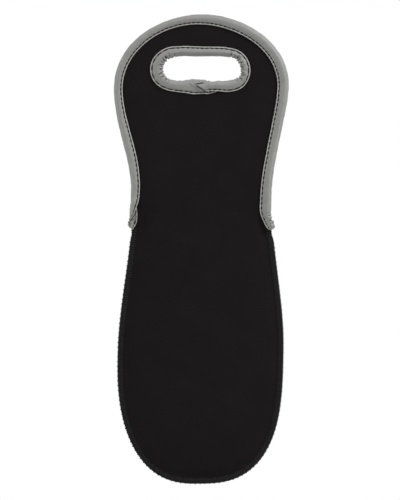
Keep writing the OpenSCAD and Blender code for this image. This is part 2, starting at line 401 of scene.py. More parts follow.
@dataclass(frozen=True)
class Laminate:
    """Depth of the sheets: how they swell from the seam and how thick their layers are."""

    outline: Outline
    foam: float = 3 * MM
    jersey: float = 0.4 * MM
    pouch_gap: float = 10 * MM
    handle_gap: float = 8 * MM
    swell_run: float = 56 * MM
    fullness: float = 2.2
    seam_w: float = 6 * MM
    part_h: float = 12 * MM
    tape_room: float = 1.0 * MM
    tape_w: float = 10 * MM
    squeeze: float = 0.7
    edge_squeeze: float = 0.72
    edge_run: float = 2.4 * MM
    ripple: float = 0.3 * MM
    ripple_length: float = 62 * MM
    ripple_slant: float = 0.4
    ripple_seed: float = 0.6
    line_step: float = 2 * MM

    def parting(self, height: Array) -> Array:
        """Share of the way, at a height, from the sewn side to the taped mouth."""
        return smooth((height - self.outline.crotch + self.part_h) / self.part_h)

    def edge_depth(self, height: Array) -> Array:
        """Distance of the lining from the middle plane along the edge."""
        opening = smooth((height - self.outline.crotch) / (self.outline.fold - self.outline.crotch))
        return np.where(
            height < self.outline.crotch,
            self.tape_room * self.parting(height),
            mix(self.tape_room, self.handle_gap / 2, opening),
        )

    def foam_under_threads(self, height: Array) -> Array:
        """Thickness of the foam along the edge."""
        return self.foam * mix(self.squeeze, 1, smooth((height - self.outline.crotch) / self.part_h))

    def face_depth(self, height: Array) -> Array:
        """Distance of the outside of a sheet from the middle plane along its edge."""
        return self.edge_depth(height) + 2 * self.jersey + self.foam_under_threads(height)

    def faces(self, points: Array) -> list[Array]:
        """Depths of the four faces of the laminate, from the inside out.

        Args:
            points: The [x, z] places on a sheet.

        Returns:
            Distances from the middle plane: inside, both faces of the foam, and outside.
        """
        height = points[:, 1]
        gap = distance_to(points, self.edge_line())
        margin = mix(self.seam_w, self.tape_w, self.parting(height))
        rise = smooth((height - self.outline.belly_h) / (self.outline.fold - self.outline.belly_h))
        middle = mix(self.pouch_gap, self.handle_gap, rise)
        swell = 1 - (1 - np.clip((gap - margin) / self.swell_run, 0, 1)) ** self.fullness
        inside = mix(self.edge_depth(height), middle / 2, swell)
        core = mix(self.foam_under_threads(height), self.foam, smooth((gap - margin) / self.seam_w))
        sewn = 1 - self.parting(height)
        core *= mix(1, mix(self.edge_squeeze, 1, smooth(gap / self.edge_run)), sewn)
        loose = self.ripple * smooth((gap - margin) / self.swell_run)
        loose *= smooth((self.outline.fold - height) / self.swell_run)
        place = height + self.ripple_slant * points[:, 0]
        inside += loose * wander(place, self.ripple_length, self.ripple_seed)
        return [inside, inside + self.jersey, inside + self.jersey + core, inside + 2 * self.jersey + core]

    def edge_line(self) -> Array:
        """The pouch's edge and the mouth's first rise, as an open run of points."""
        sewn, free = self.outline.sewn_run(), self.outline.free_run()
        rise = free.place(free.steps(self.line_step))
        rise = rise[rise[:, 1] < self.outline.fold]
        right, left = rise[rise[:, 0] > 0], rise[rise[:, 0] < 0]
        return np.concatenate([left, sewn.place(sewn.steps(self.line_step))[1:-1], right])


def distance_to(points: Array, line: Array) -> Array:
    """Distance of each point from an open line of points."""
    starts, ways = line[:-1], np.diff(line, axis=0)
    squares = (ways**2).sum(axis=1)
    best = np.full(len(points), np.inf)
    for start, way, square in zip(starts, ways, squares):
        share = np.clip((points - start) @ way / square, 0, 1)
        best = np.minimum(best, np.linalg.norm(points - start - share[:, None] * way, axis=1))
    return best


def inside_loop(points: Array, loop: Array) -> Array:
    """Which points lie inside a closed loop of points."""
    found = np.zeros(len(points), bool)
    for (x0, z0), (x1, z1) in zip(loop, np.roll(loop, -1, axis=0)):
        if z0 == z1:
            continue
        crosses = (points[:, 1] > z0) != (points[:, 1] > z1)
        found ^= crosses & (points[:, 0] < x0 + (points[:, 1] - z0) * (x1 - x0) / (z1 - z0))
    return found


class Form:
    """Points, faces and surface coordinates of one piece while it is being made."""

    def __init__(self) -> None:
        """Start with nothing made."""
        self.points: list[Array] = []
        self.charts: list[Array] = []
        self.lips: list[Array] = []
        self.faces: list[tuple[int, ...]] = []
        self.count = 0

    def add(self, points: Array, faces: Array | list, chart: Array, lip: Array | None = None) -> None:
        """Add points with their faces.

        Args:
            points: An array of points of three.
            faces: Their faces, as rows of numbers of these points.
            chart: Where each point lies on the flat cloth, in metres.
            lip: Share by which each point belongs to a woven lip, painted paler partly as a highlight, or
                below zero, the painted shade of a crease, groove or lap.
        """
        self.points.append(points.reshape(-1, 3))
        self.charts.append(chart.reshape(-1, 2))
        self.lips.append(np.zeros(self.points[-1].shape[0]) if lip is None else lip.reshape(-1))
        self.faces += [tuple(int(i) + self.count for i in face) for face in faces]
        self.count += len(self.points[-1])

    def sweep(self, rings: Array, chart: Array, lip: Array | None = None) -> None:
        """Add closed rings of points, joined one to the next and capped at both ends.

        Args:
            rings: Points by ring and by place round it.
            chart: The flat cloth's coordinates of the same points.
            lip: Shares of the same points.
        """
        count, around = rings.shape[:2]
        ring, place = np.meshgrid(np.arange(count - 1), np.arange(around), indexing="ij")
        a = (ring * around + place).ravel()
        b = (ring * around + (place + 1) % around).ravel()
        quads = np.stack([a, b, b + around, a + around], axis=1).tolist()
        first = list(range(around))[::-1]
        last = [i + (count - 1) * around for i in range(around)]
        self.add(rings, quads + [first, last], chart, lip)

    def piece(self, name: str, finish: "Finish", side: Side = Side.FRONT) -> bpy.types.Object:
        """Make the object, dressed in its finish.

        Args:
            name: The piece's name.
            finish: What it is made of.
            side: The sheet that it belongs to. The back's pieces are the front's, mirrored.

        Returns:
            The finished object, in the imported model's frame.
        """
        points = np.concatenate(self.points) - [0, 0, GRIP_HEIGHT]
        faces = self.faces
        if side is Side.BACK:
            points = points * [1, -1, 1]
            faces = [face[::-1] for face in faces]
        mesh = bpy.data.meshes.new(name)
        mesh.from_pydata(points.tolist(), [], faces)
        corners = np.zeros(len(mesh.loops), np.int32)
        mesh.loops.foreach_get("vertex_index", corners)
        chart = mesh.uv_layers.new(name="cloth")
        chart.data.foreach_set("uv", np.concatenate(self.charts)[corners].astype(np.float32).ravel())
        # The lip attribute: the paler lip, partly a painted highlight, and below zero painted shade.
        lips = mesh.attributes.new("lip", "FLOAT", "POINT")
        lips.data.foreach_set("value", np.concatenate(self.lips).astype(np.float32))
        mesh.polygons.foreach_set("use_smooth", np.ones(len(mesh.polygons), bool))
        mesh.set_sharp_from_angle(angle=math.radians(SHARP_ANGLE))
        mesh.materials.append(finish.material())
        piece = bpy.data.objects.new(name, mesh)
        bpy.context.scene.collection.objects.link(piece)
        return piece


class Nodes:
    """Shader nodes of a material or a world, added one call at a time.

    Args:
        made: The material or the world.
    """

    def __init__(self, made: bpy.types.Material | bpy.types.World) -> None:
        """Clear the nodes that it comes with."""
        self.made = made
        self.made.use_nodes = True
        self.tree = self.made.node_tree
        self.tree.nodes.clear()

    def add(self, kind: str, settings: dict | None = None, **inputs: object) -> bpy.types.Node:
        """Add a node.

        Args:
            kind: Its type without the ShaderNode in front.
            settings: Its own properties.
            **inputs: Values or sockets by input name, with _ for spaces, or in0, in1 by number.

        Returns:
            The new node.
        """
        node = self.tree.nodes.new("ShaderNode" + kind)
        for key, value in (settings or {}).items():
            setattr(node, key, value)
        for key, value in inputs.items():
            number = key[2:] if key.startswith("in") and key[2:].isdigit() else None
            socket = node.inputs[int(number)] if number else node.inputs[key.replace("_", " ")]
            if isinstance(value, Socket):
                self.tree.links.new(value, socket)
            else:
                socket.default_value = value
        return node

    def math(self, operation: str, *values: object) -> Socket:
        """Add a sum of one or two values and give its result."""
        inputs = {f"in{i}": value for i, value in enumerate(values)}
        return self.add("Math", {"operation": operation}, **inputs).outputs[0]

    def times(self, product: object, *factors: object) -> Socket:
        """Multiply values one after another."""
        for factor in factors:
            product = self.math("MULTIPLY", product, factor)
        return product

    def weigh(self, first: Socket, first_share: float, second: Socket, second_share: float) -> Socket:
        """Add two values, each by its share."""
        return self.math("ADD", self.times(first, first_share), self.times(second, second_share))

    def cloth(self) -> tuple[Socket, Socket, Socket]:
        """The flat cloth's coordinates: as a vector, and its two parts."""
        chart = self.add("UVMap", {"uv_map": "cloth"}).outputs[0]
        parts = self.add("SeparateXYZ", in0=chart)
        return chart, parts.outputs[0], parts.outputs[1]

    def noise(self, chart: Socket, size: float, detail: float = 2.0) -> Socket:
        """Soft noise whose blotches are about a size across."""
        return self.add("TexNoise", Vector=chart, Scale=1 / size, Detail=detail).outputs[0]

    def span(self, value: Socket, low: float, high: float) -> Socket:
        """Turn a share into a value from low to high."""
        return self.add("MapRange", Value=value, To_Min=low, To_Max=high).outputs[0]

    def patches(self, chart: Socket, size: float, low: float, high: float, detail: float = 2.0) -> Socket:
        """Values from low to high in soft patches about a size across."""
        return self.span(self.noise(chart, size, detail), low, high)

    def ripple(self, place: Socket, pitch: float, shift: object = 0.0) -> Socket:
        """A wave from -1 to 1 with a pitch, moved on by a shift in turns."""
        turns = self.math("ADD", self.times(place, 1 / pitch), shift)
        return self.math("SINE", self.times(turns, 2 * math.pi))

    def bump(self, height: Socket, strength: float, depth: float) -> Socket:
        """The surface's normal, bent by a height."""
        return self.add("Bump", Strength=strength, Distance=depth, Height=height).outputs[0]

    def finish(
        self, shader: bpy.types.Node, output: str = "OutputMaterial"
    ) -> bpy.types.Material | bpy.types.World:
        """Send a shader to the output and give the material or the world."""
        self.add(output, Surface=shader.outputs[0])
        return self.made


@dataclass(frozen=True)
class Finish:
    """A material, made once and shared by its pieces.

    Attributes:
        slot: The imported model's name for it.
        colour: Its colour.
        roughness: Its roughness.
        gloss: Strength of its mirror-like light.
        sheen: Strength of its bloom.
        sheen_roughness: How wide the bloom spreads.
        use: The last word of the material's name.
    """

    slot: str
    colour: tuple[float, float, float]
    roughness: float
    gloss: float = 0.0
    sheen: float = 0.0
    sheen_roughness: float = 0.5
    use: str = "finish"

    def dress(self, nodes: Nodes) -> bpy.types.Node:
        """Add this finish's shader to a material's nodes."""
        raise NotImplementedError

    def material(self) -> bpy.types.Material:
        """The finish's material, made on the first call."""
        name = f"{self.slot}_{self.use}"
        found = bpy.data.materials.get(name)
        if found is None:
            nodes = Nodes(bpy.data.materials.new(name))
            found = nodes.finish(self.dress(nodes))
        return found

    def shader(self, nodes: Nodes, light: Socket, rough: object, normal: Socket) -> bpy.types.Node:
        """Add the shader itself.

        Args:
            nodes: The material's nodes.
            light: Factor that makes the colour lighter or darker.
            rough: The roughness, as a value or a socket.
            normal: The normal, bent by the cloth's relief.

        Returns:
            The shader's node.
        """
        tint = nodes.add("VectorMath", {"operation": "SCALE"}, Vector=self.colour, Scale=light)
        return nodes.add(
            "BsdfPrincipled",
            Base_Color=tint.outputs[0],
            Roughness=rough,
            Normal=normal,
            Specular_IOR_Level=self.gloss,
            Sheen_Weight=self.sheen,
            Sheen_Roughness=self.sheen_roughness,
        )


@dataclass(frozen=True)
class Jersey(Finish):
    """Fine black knitted nylon, laminated to the foam: loops in ribs with a soft bloom."""

    slot: str = "jersey"
    colour: tuple[float, float, float] = (0.0134, 0.012, 0.0125)
    roughness: float = 0.82
    sheen: float = 0.015
    rib: float = 0.75 * MM
    course: float = 0.55 * MM
    loop_lean: float = 1.6
    fuzz: float = 0.3 * MM
    tint_patch: float = 24 * MM
    rough_patch: float = 9 * MM
    relief: float = 0.05 * MM

    def dress(self, nodes: Nodes) -> bpy.types.Node:
        """Add the knit: rows of small V-shaped loops."""
        chart, across, along = nodes.cloth()
        rib = nodes.math("PINGPONG", nodes.times(across, 1 / self.rib), 0.5)
        loops = nodes.ripple(along, self.course, nodes.times(rib, self.loop_lean))
        knit = nodes.weigh(loops, 0.5, nodes.ripple(across, self.rib), 0.35)
        height = nodes.math("ADD", knit, nodes.noise(chart, self.fuzz, detail=3))
        patches = nodes.patches(chart, self.tint_patch, low=0.88, high=1.14)
        light = nodes.times(patches, nodes.span(knit, low=0.95, high=1.12))
        rough = nodes.patches(chart, self.rough_patch, self.roughness - 0.06, self.roughness + 0.08)
        return self.shader(nodes, light, rough, nodes.bump(height, strength=0.55, depth=self.relief))


@dataclass(frozen=True)
class Foam(Finish):
    """Closed-cell foam rubber, as it shows at a cut edge."""

    slot: str = "foam"
    colour: tuple[float, float, float] = (0.016, 0.016, 0.016)
    roughness: float = 0.9
    gloss: float = 0.2
    cell: float = 0.35 * MM
    tint_patch: float = 5 * MM
    relief: float = 0.08 * MM

    def dress(self, nodes: Nodes) -> bpy.types.Node:
        """Add the small cut cells."""
        chart = nodes.cloth()[0]
        cells = nodes.add("TexVoronoi", Vector=chart, Scale=1 / self.cell).outputs[0]
        light = nodes.patches(chart, self.tint_patch, low=0.8, high=1.2)
        return self.shader(nodes, light, self.roughness, nodes.bump(cells, strength=0.6, depth=self.relief))


@dataclass(frozen=True)
class Tape(Finish):
    """Mid-grey elastic binding tape: fine cross ribs, a satin face, a paler woven lip that is partly a
    painted highlight, and painted shade in its creases, grooves and laps.
    """

    slot: str = "tape"
    colour: tuple[float, float, float] = (0.275, 0.274, 0.266)
    roughness: float = 0.52
    gloss: float = 0.3
    sheen: float = 0.3
    sheen_roughness: float = 0.35
    rib: float = 0.42 * MM
    warp: float = 0.33 * MM
    lip_light: float = 1.45
    pinch_light: float = 0.12
    tint_patch: float = 7 * MM
    rough_patch: float = 3 * MM
    relief: float = 0.05 * MM

    def dress(self, nodes: Nodes) -> bpy.types.Node:
        """Add the weave, the paler lip with its painted highlight, and the painted shade."""
        chart, along, across = nodes.cloth()
        row = nodes.math("FLOOR", nodes.times(along, 1 / self.rib))
        warps = nodes.ripple(across, self.warp, nodes.times(row, 0.5))
        weave = nodes.weigh(nodes.ripple(along, self.rib), 0.6, warps, 0.4)
        # The lip attribute makes the lip paler, partly as a painted highlight of its folded edge; below
        # zero it paints shade into creases, stitch grooves and laps.
        lip = nodes.add("Attribute", {"attribute_name": "lip"}).outputs["Fac"]
        light = nodes.times(
            nodes.patches(chart, self.tint_patch, low=0.92, high=1.08, detail=3),
            nodes.span(weave, low=0.975, high=1.025),
            nodes.span(lip, low=1, high=self.lip_light),
            nodes.span(nodes.times(lip, -1.0), low=1, high=self.pinch_light),
        )
        rough = nodes.patches(chart, self.rough_patch, self.roughness - 0.05, self.roughness + 0.07)
        return self.shader(nodes, light, rough, nodes.bump(weave, strength=0.4, depth=self.relief))


@dataclass(frozen=True)
class Thread(Finish):
    """Black sewing thread of two twisted plies."""

    slot: str = "thread"
    colour: tuple[float, float, float] = (0.0135, 0.0125, 0.013)
    roughness: float = 0.7
    gloss: float = 0.1
    sheen: float = 0.02
    twist: float = 0.7 * MM
    relief: float = 0.06 * MM

    def dress(self, nodes: Nodes) -> bpy.types.Node:
        """Add the slanting plies."""
        along, across = nodes.cloth()[1:]
        plies = nodes.ripple(along, self.twist, nodes.times(across, 2 / self.twist))
        light = nodes.span(plies, low=0.7, high=1.2)
        return self.shader(nodes, light, self.roughness, nodes.bump(plies, strength=0.7, depth=self.relief))


@dataclass(frozen=True)
class Hinge:
    """The stretch of the sheets that bends when a handle folds outward."""

    side: Side
    run: float = 40 * MM

    @property
    def height(self) -> float:
        """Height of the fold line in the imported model's frame."""
        joints = {joint["name"]: joint for joint in frame["joints"]}
        return joints[f"{self.side.word}_handle_fold"]["pos_m"][2]

    def bend(self, piece: bpy.types.Object) -> bpy.types.Object:
        """Bake the piece's placement into its mesh; it is not bent."""
        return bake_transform(piece)


@dataclass
class Sheets:
    """Both sheets of laminate, each as an outer jersey, a foam core and a lining."""

    outline: Outline
    slot: Slot
    laminate: Laminate
    grid: float = 2.6 * MM
    edge_step: float = 1.8 * MM
    insets: tuple[float, ...] = (1.2 * MM, 2.6 * MM, 4.6 * MM)
    clear_share: float = 0.6
    tolerance: float = 1e-5
    parted: float = 0.005 * MM
    points: Array = field(init=False)
    triangles: Array = field(init=False)
    rim: Array = field(init=False)

    def __post_init__(self) -> None:
        """Cut the flat pattern once for all layers."""
        self.points, self.triangles = self.cut()
        self.rim = self.open_edges()

    def cut(self) -> Pair:
        """Triangles over the flat cut, finer along its edges.

        Returns:
            The [x, z] points, and the triangles as rows of their numbers.
        """
        edge, hole = self.outline.loop(self.edge_step), self.slot.loop(self.edge_step)
        rows = [self.inset(loop, gap) for loop in (edge, hole) for gap in self.insets]
        clear = self.insets[-1] + self.clear_share * self.grid
        points = np.concatenate([edge, hole, *rows, self.field(edge, hole, clear)])
        links = self.ring_links(0, len(edge)) + self.ring_links(len(edge), len(hole))
        scaled = [Vector((x / MM, z / MM)) for x, z in points]
        found = delaunay_2d_cdt(scaled, links, [], 0, self.tolerance)
        points = np.array([[v.x, v.y] for v in found[0]]) * MM
        triangles = np.array(found[2])
        centres = points[triangles].mean(axis=1)
        kept = inside_loop(centres, edge) & ~inside_loop(centres, hole)
        return points, triangles[kept]

    @staticmethod
    def ring_links(start: int, count: int) -> list[tuple[int, int]]:
        """The edges of a closed loop of numbered points."""
        return [(start + i, start + (i + 1) % count) for i in range(count)]

    @staticmethod
    def inset(loop: Array, gap: float) -> Array:
        """A closed loop moved by a gap to the left of the way it runs."""
        way = np.roll(loop, -1, axis=0) - np.roll(loop, 1, axis=0)
        way /= np.linalg.norm(way, axis=1)[:, None]
        return loop + gap * np.stack([-way[:, 1], way[:, 0]], axis=1)

    def field(self, edge: Array, hole: Array, clear: float) -> Array:
        """Evenly spread points that keep clear of both edges."""
        low, high = edge.min(axis=0), edge.max(axis=0)
        rise = self.grid * math.sqrt(3) / 2
        rows = np.arange(low[1], high[1], rise)
        found = []
        for number, height in enumerate(rows):
            shift = self.grid / 2 * (number % 2)
            across = np.arange(low[0] + shift, high[0], self.grid)
            found.append(np.stack([across, np.full(len(across), height)], axis=1))
        spread = np.concatenate(found)
        spread = spread[inside_loop(spread, edge) & ~inside_loop(spread, hole)]
        closed = [np.concatenate([loop, loop[:1]]) for loop in (edge, hole)]
        return spread[np.minimum(*[distance_to(spread, loop) for loop in closed]) > clear]

    def open_edges(self) -> Array:
        """The flat cut's rim, as pairs of point numbers in the way its triangles run."""
        pairs = np.concatenate([self.triangles[:, [i, (i + 1) % 3]] for i in range(3)])
        keys = {(int(a), int(b)) for a, b in pairs}
        return np.array(sorted((a, b) for a, b in keys if (b, a) not in keys))

    def layer(self, near: Array, far: Array) -> Form:
        """A closed layer between two faces of the laminate, parted a little from the next layers.

        Args:
            near: Depth of its inner face at each point.
            far: Depth of its outer face at each point.

        Returns:
            The layer of the front sheet.
        """
        form = Form()
        count = len(self.points)
        outer = np.stack([self.points[:, 0], self.parted - far, self.points[:, 1]], axis=1)
        inner = np.stack([self.points[:, 0], -self.parted - near, self.points[:, 1]], axis=1)
        rim = [(b, a, a + count, b + count) for a, b in self.rim]
        faces = self.triangles.tolist() + (self.triangles[:, ::-1] + count).tolist() + rim
        form.add(np.concatenate([outer, inner]), faces, np.tile(self.points, (2, 1)))
        return form

    def build(self, side: Side) -> list[bpy.types.Object]:
        """Make one sheet's three layers.

        Args:
            side: The front or the back sheet.

        Returns:
            The outer jersey, the foam and the lining.
        """
        faces = self.laminate.faces(self.points)
        made = []
        for word, low, finish in (("face", 2, Jersey()), ("foam", 1, Foam()), ("lining", 0, Jersey())):
            piece = self.layer(faces[low], faces[low + 1]).piece(f"{side.word}_{word}", finish, side)
            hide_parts(f"{side.word}_pouch_{word}", f"{side.word}_handle_{word}")
            Hinge(side).bend(piece)
            made.append(piece)
        return made


@dataclass
class Stations:
    """What a fold wraps, at some lengths along its edge: arrays that run alike."""

    leg: Array
    low: Array
    high: Array
    out: Array
    half: Array
    inner: Array


@dataclass(frozen=True)
class Fold:
    """Cross-section of a tape folded over an edge, with its lip, stitch groove and round nose."""

    thick: float = 0.8 * MM
    squareness: float = 2.3
    nose_turn: float = 75.0
    nose_step: float = 15.0
    wrap_turn: float = 84.0
    leg_shares: tuple[float, ...] = (
        0, 0.012, 0.04, 0.085, 0.125, 0.155, 0.18, 0.205, 0.235, 0.28, 0.32, 0.36, 0.41, 0.46, 0.52,
        0.58, 0.64, 0.7, 0.76, 0.82, 0.85, 0.88, 0.905, 0.93, 0.96,
    )
    leg_heights: tuple[float, ...] = (
        -0.4, -0.12, 0.1, 0.14, 0.0, -0.36, -0.6, -0.38, -0.04, 0.18, 0.31, 0.42, 0.54, 0.64, 0.75,
        0.84, 0.9, 0.92, 0.89, 0.8, 0.71, 0.6, 0.5, 0.36, 0.18,
    )
    lip_shares: tuple[float, ...] = (1, 1, 1, 0.9, 0.35) + (0,) * 20
    lining_shares: tuple[float, ...] = (1, 0.5, 0, 0, 0.5, 1)
    stitch_place: int = 6
    seam_place: int = 8
    seam_width: float = 1.95 * MM
    seam_share: float = 0.5
    seam_depth: float = 1.5 * MM
    fullness: float = 1.15
    full_run: float = 5 * MM
    inner_share: float = 0.4

    @property
    def noses(self) -> Array:
        """Angles of the points round the nose, from the inside of the carrier out."""
        return np.radians(np.arange(self.nose_turn, -self.nose_turn - 1, -self.nose_step))

    def bent(self, side: float) -> float:
        """A coordinate round the nose, from the sine or cosine of its angle."""
        return math.copysign(abs(side) ** (2 / self.squareness), side)

    @property
    def shown(self) -> int:
        """Number of points on the tape's visible face, which come first."""
        return 2 * len(self.leg_shares) + len(self.noses)

    @property
    def count(self) -> int:
        """Number of points round the section."""
        return self.shown + len(self.lining_shares)

    @property
    def stitch_columns(self) -> tuple[int, int]:
        """Numbers of the points in the stitch groove: outside and inside."""
        return self.shown - 1 - self.stitch_place, self.stitch_place

    def from_lip(self, place: int, whole: Array) -> Array:
        """Distance of a leg's point from its lip, where the leg's whole width is given."""
        seam_share, share = self.leg_shares[self.seam_place], self.leg_shares[place]
        seam = np.minimum(self.seam_width, self.seam_share * whole)
        if place <= self.seam_place:
            return seam * share / seam_share
        return seam + (whole - seam) * (share - seam_share) / (1 - seam_share)

    def column(self, number: int, at: Stations) -> Pair:
        """One point of the section along the whole tape.

        Args:
            number: The point's number: the inner leg from its lip, the nose, the outer leg to its
                lip, and the face against the sheet.
            at: What the tape wraps at each station.

        Returns:
            How far the point lies out of the edge, and its place through the carrier.
        """
        legs, noses = len(self.leg_shares), len(self.noses)
        root = at.out - self.thick
        puff = self.fullness * MM * smooth((at.leg + root) / self.full_run)
        if number < legs:
            share = self.leg_shares[number]
            out = -at.leg + self.from_lip(number, at.leg + root)
            height = self.leg_heights[number]
            through = at.high + self.thick + puff * min(height, self.inner_share * height)
            return self.halved(out, through, at.out + share * self.thick, 0 * out, at.half)
        if number < legs + noses:
            angle = self.noses[number - legs]
            middle, reach = (at.low + at.high) / 2, (at.high - at.low) / 2 + self.thick
            out = root + 2 * self.thick * self.bent(math.cos(angle))
            through = middle + reach * self.bent(math.sin(angle))
            turn = (self.noses[0] - angle) / (self.noses[0] - self.noses[-1]) * math.radians(self.wrap_turn)
            half_out = root + 2 * self.thick * self.bent(math.cos(turn))
            half_through = (at.low - self.thick) * self.bent(math.sin(turn))
            return self.halved(out, through, half_out, half_through, at.half)
        if number < self.shown:
            place = self.shown - 1 - number
            out = -at.leg + self.from_lip(place, at.leg + root)
            return out, at.low - self.thick - puff * self.leg_heights[place]
        place = number - self.shown
        outs = (-at.leg, -at.leg / 2, at.inner, at.inner, -at.leg / 2, -at.leg)[place]
        if place < 3:
            return outs, at.low
        rest = (at.high, at.high / 2, 0 * at.high)[place - 3]
        return self.halved(outs, at.high, at.inner, rest, at.half)

    @staticmethod
    def halved(out: Array, through: Array, half_out: Array, half_through: Array, half: Array) -> Pair:
        """Go from the whole fold round one sheet to the front half of a wrap round both."""
        return mix(out, half_out, half), mix(through, half_through, half)

    def depth_shares(self) -> Array:
        """How far each point lies along the tape's width from its nose, as a share of a leg."""
        legs = 1 - np.array(self.leg_shares)
        return np.concatenate([legs, np.zeros(len(self.noses)), legs[::-1], self.lining_shares])

    def lip_columns(self) -> Array:
        """Share by which each point belongs to the paler lip, whose paleness is partly a painted highlight.
        """
        lips = np.array(self.lip_shares)
        ends = np.floor(self.lining_shares)
        return np.concatenate([lips, np.zeros(len(self.noses)), lips[::-1], ends])

    def facing(self, number: int) -> tuple[float, float]:
        """Shares of out and of through in the way that a point's surface faces."""
        legs, noses = len(self.leg_shares), len(self.noses)
        if legs <= number < legs + noses:
            angle = self.noses[number - legs]
            return math.cos(angle), math.sin(angle)
        return (0.0, 1.0) if number < legs else (0.0, -1.0)

    def worn(self, number: int) -> bool:
        """Whether a point is on the tape's visible face."""
        return number < self.shown


@dataclass(frozen=True)
class TapeEnd:
    """How a tape draws in at its ends.

    Attributes:
        reach: Length over which an end draws in.
        least: Share of its section that is left at the very end.
        both: Whether its start draws in too.
        hemmed: Whether its last end is a folded hem, paler along its fold partly as a painted highlight,
            with painted shadow at its nose.
    """

    reach: float = 1.1 * MM
    least: float = 0.4
    both: bool = True
    hemmed: bool = False


CUT_ENDS = TapeEnd()
POINTED_END = TapeEnd(reach=3 * MM, least=0.15, both=False)
HEMMED_END = TapeEnd(least=0.9, both=False, hemmed=True)


@dataclass
class FoldedTape:
    """A tape folded along a run of edge.

    Attributes:
        run: The edge.
        fold: The tape's cross-section.
        wrapped: Gives what the tape wraps at some lengths along the edge.
        pitch: Length of its stitches, which pucker it.
        creases: The creases at its nose.
        ends: Where it starts and finishes along the edge.
        seed: Sets its slow unevenness.
        folds: Gives more height and painted shadow at some lengths along, by distance into the sheet.
        setback: How much sooner it finishes, in millimetres, by share of the way from nose to lip.
        setback_run: Length over which its lines draw back by that.
        end: How it draws in at its ends.
        full: How full its section stays next to an end, above 1 to meet it square.
        crowding: How much closer its stations lie near the ends.
        crowd_run: Length over which they do.
        close_steps: Number of steps in which its stations are spread.
        flat_width: Its whole width on the flat cloth, from nose to lip.
        hem: Width of a hem.
        hem_reach: Half the width of the hem's fold.
        hem_start: Share of the way from nose to lip at which the hem begins.
        hem_run: Share of the way over which it reaches its whole width.
        hem_dark: Painted shadow at the hem's nose, as a lip share.
        lip_share: Least lip share of a point that no painted shade darkens.
        crease_dark: Depth of a crease whose painted shade is full.
        seam_dark: Painted shade in the stitch groove.
        seam_reach: Half the width of the groove.
        pucker: How deep a stitch pulls it.
        pucker_dark: How much a stitch's pull changes the painted shade in the groove.
        swell: Height and length of the slow waves across its face.
        sway: Distance and length of the slow waves along its edge.
    """

    run: Run
    fold: Fold
    wrapped: Callable[[Array], Stations]
    pitch: float
    creases: Creases
    ends: tuple[float, float]
    seed: float
    folds: Callable[[Array, Array], Pair] | None = None
    setback: Knots = ((0, 0), (1, 0))
    setback_run: float = 26 * MM
    end: TapeEnd = CUT_ENDS
    full: float = 1.02
    crowding: float = 1.2
    crowd_run: float = 22 * MM
    close_steps: int = 4000
    flat_width: float = 9.1 * MM
    hem: float = 2.5 * MM
    hem_reach: float = 0.55 * MM
    hem_start: float = 0.13
    hem_run: float = 0.06
    hem_dark: float = -0.9
    lip_share: float = 0.5
    crease_dark: float = 0.6 * MM
    seam_dark: float = 0.44
    seam_reach: float = 0.62 * MM
    pucker: float = 0.12 * MM
    pucker_dark: float = 0.75
    swell: tuple[float, float] = (0.09 * MM, 11 * MM)
    sway: tuple[float, float] = (0.1 * MM, 23 * MM)

    def surface(self, along: Array, column: int) -> Array:
        """Points of one line of the section at some lengths along the edge."""
        at = self.stations(along)
        out, through = self.fold.column(column, at)
        if self.fold.worn(column):
            facing = self.fold.facing(column)
            rise = self.relief(along, column)[0]
            sway = self.sway[0] * wander(along, self.sway[1], 2.0 + self.seed)
            out = out + facing[0] * rise + sway * (1 - at.half)
            through = through + facing[1] * rise * (1 - at.half * (facing[1] > 0))
        return self.run.off_at(along, out, through)

    def stations(self, along: Array) -> Stations:
        """What the tape wraps, with its nose drawn in at each crease."""
        at = self.wrapped(along)
        notch = self.creases.notch(along)
        out = at.out - notch
        return replace(at, out=out, inner=np.minimum(at.inner, out - notch))

    def relief(self, along: Array, column: int) -> Pair:
        """Small unevenness of one line of the section.

        Args:
            along: Lengths along the edge.
            column: The line's number.

        Returns:
            Its height: creases, puckers and slow waves; and the painted shade of its groove, creases and
                folds.
        """
        at = self.stations(along)
        out = np.minimum(self.fold.column(column, at)[0], at.out)
        seam = hump(at.leg + out, self.fold.seam_depth, self.seam_reach)
        pull = np.cos(2 * math.pi * along / self.pitch)
        crease = self.creases.depth(along, at.out - out)
        slow = self.swell[0] * wander(along, self.swell[1], 3.0 + self.seed) * (1 - seam) * (1 - at.half)
        rise = slow - self.pucker * seam * pull
        # Painted shade in the stitch groove, varied by each stitch's pull, and in the creases.
        dark = self.seam_dark * seam * (1 - self.pucker_dark * pull) + crease / self.crease_dark
        if self.folds is not None:
            more, shade = self.folds(along, -out)
            rise, dark = rise + more, dark + shade
        return rise - crease, np.clip(dark, 0, 1)

    def column_lengths(self, steps: Array, column: int) -> Array:
        """Lengths along the edge of one line of the section, which may finish sooner."""
        share = smooth((steps - self.ends[1] + self.setback_run) / self.setback_run)
        shares, places = np.array(self.setback).T
        return steps - MM * np.interp(self.fold.depth_shares()[column], shares, places) * share

    def spread(self, step: float) -> Array:
        """Stations from start to finish, about a step apart and closer near the ends."""
        start, finish = self.ends
        close = np.linspace(start, finish, self.close_steps)
        near = np.minimum(close - start, finish - close)[1:] < self.crowd_run
        crowd = lengths_along(close[:, None])
        crowd[1:] += np.cumsum(np.diff(close) * self.crowding * near)
        return np.interp(np.linspace(0, crowd[-1], round(crowd[-1] / step) + 1), crowd, close)

    def lips(self, steps: Array, along: Array, column: int) -> Array:
        """How pale or dark one line of the section is.

        Args:
            steps: The stations.
            along: The line's own lengths along the edge.
            column: The line's number.

        Returns:
            Its lip shares, which are below zero where painted shade darkens it.
        """
        lip = np.full(len(along), self.fold.lip_columns()[column])
        if self.fold.worn(column):
            # Painted shade of the groove, creases and folds, kept off the lip.
            lip = lip - self.relief(along, column)[1] * (lip < self.lip_share)
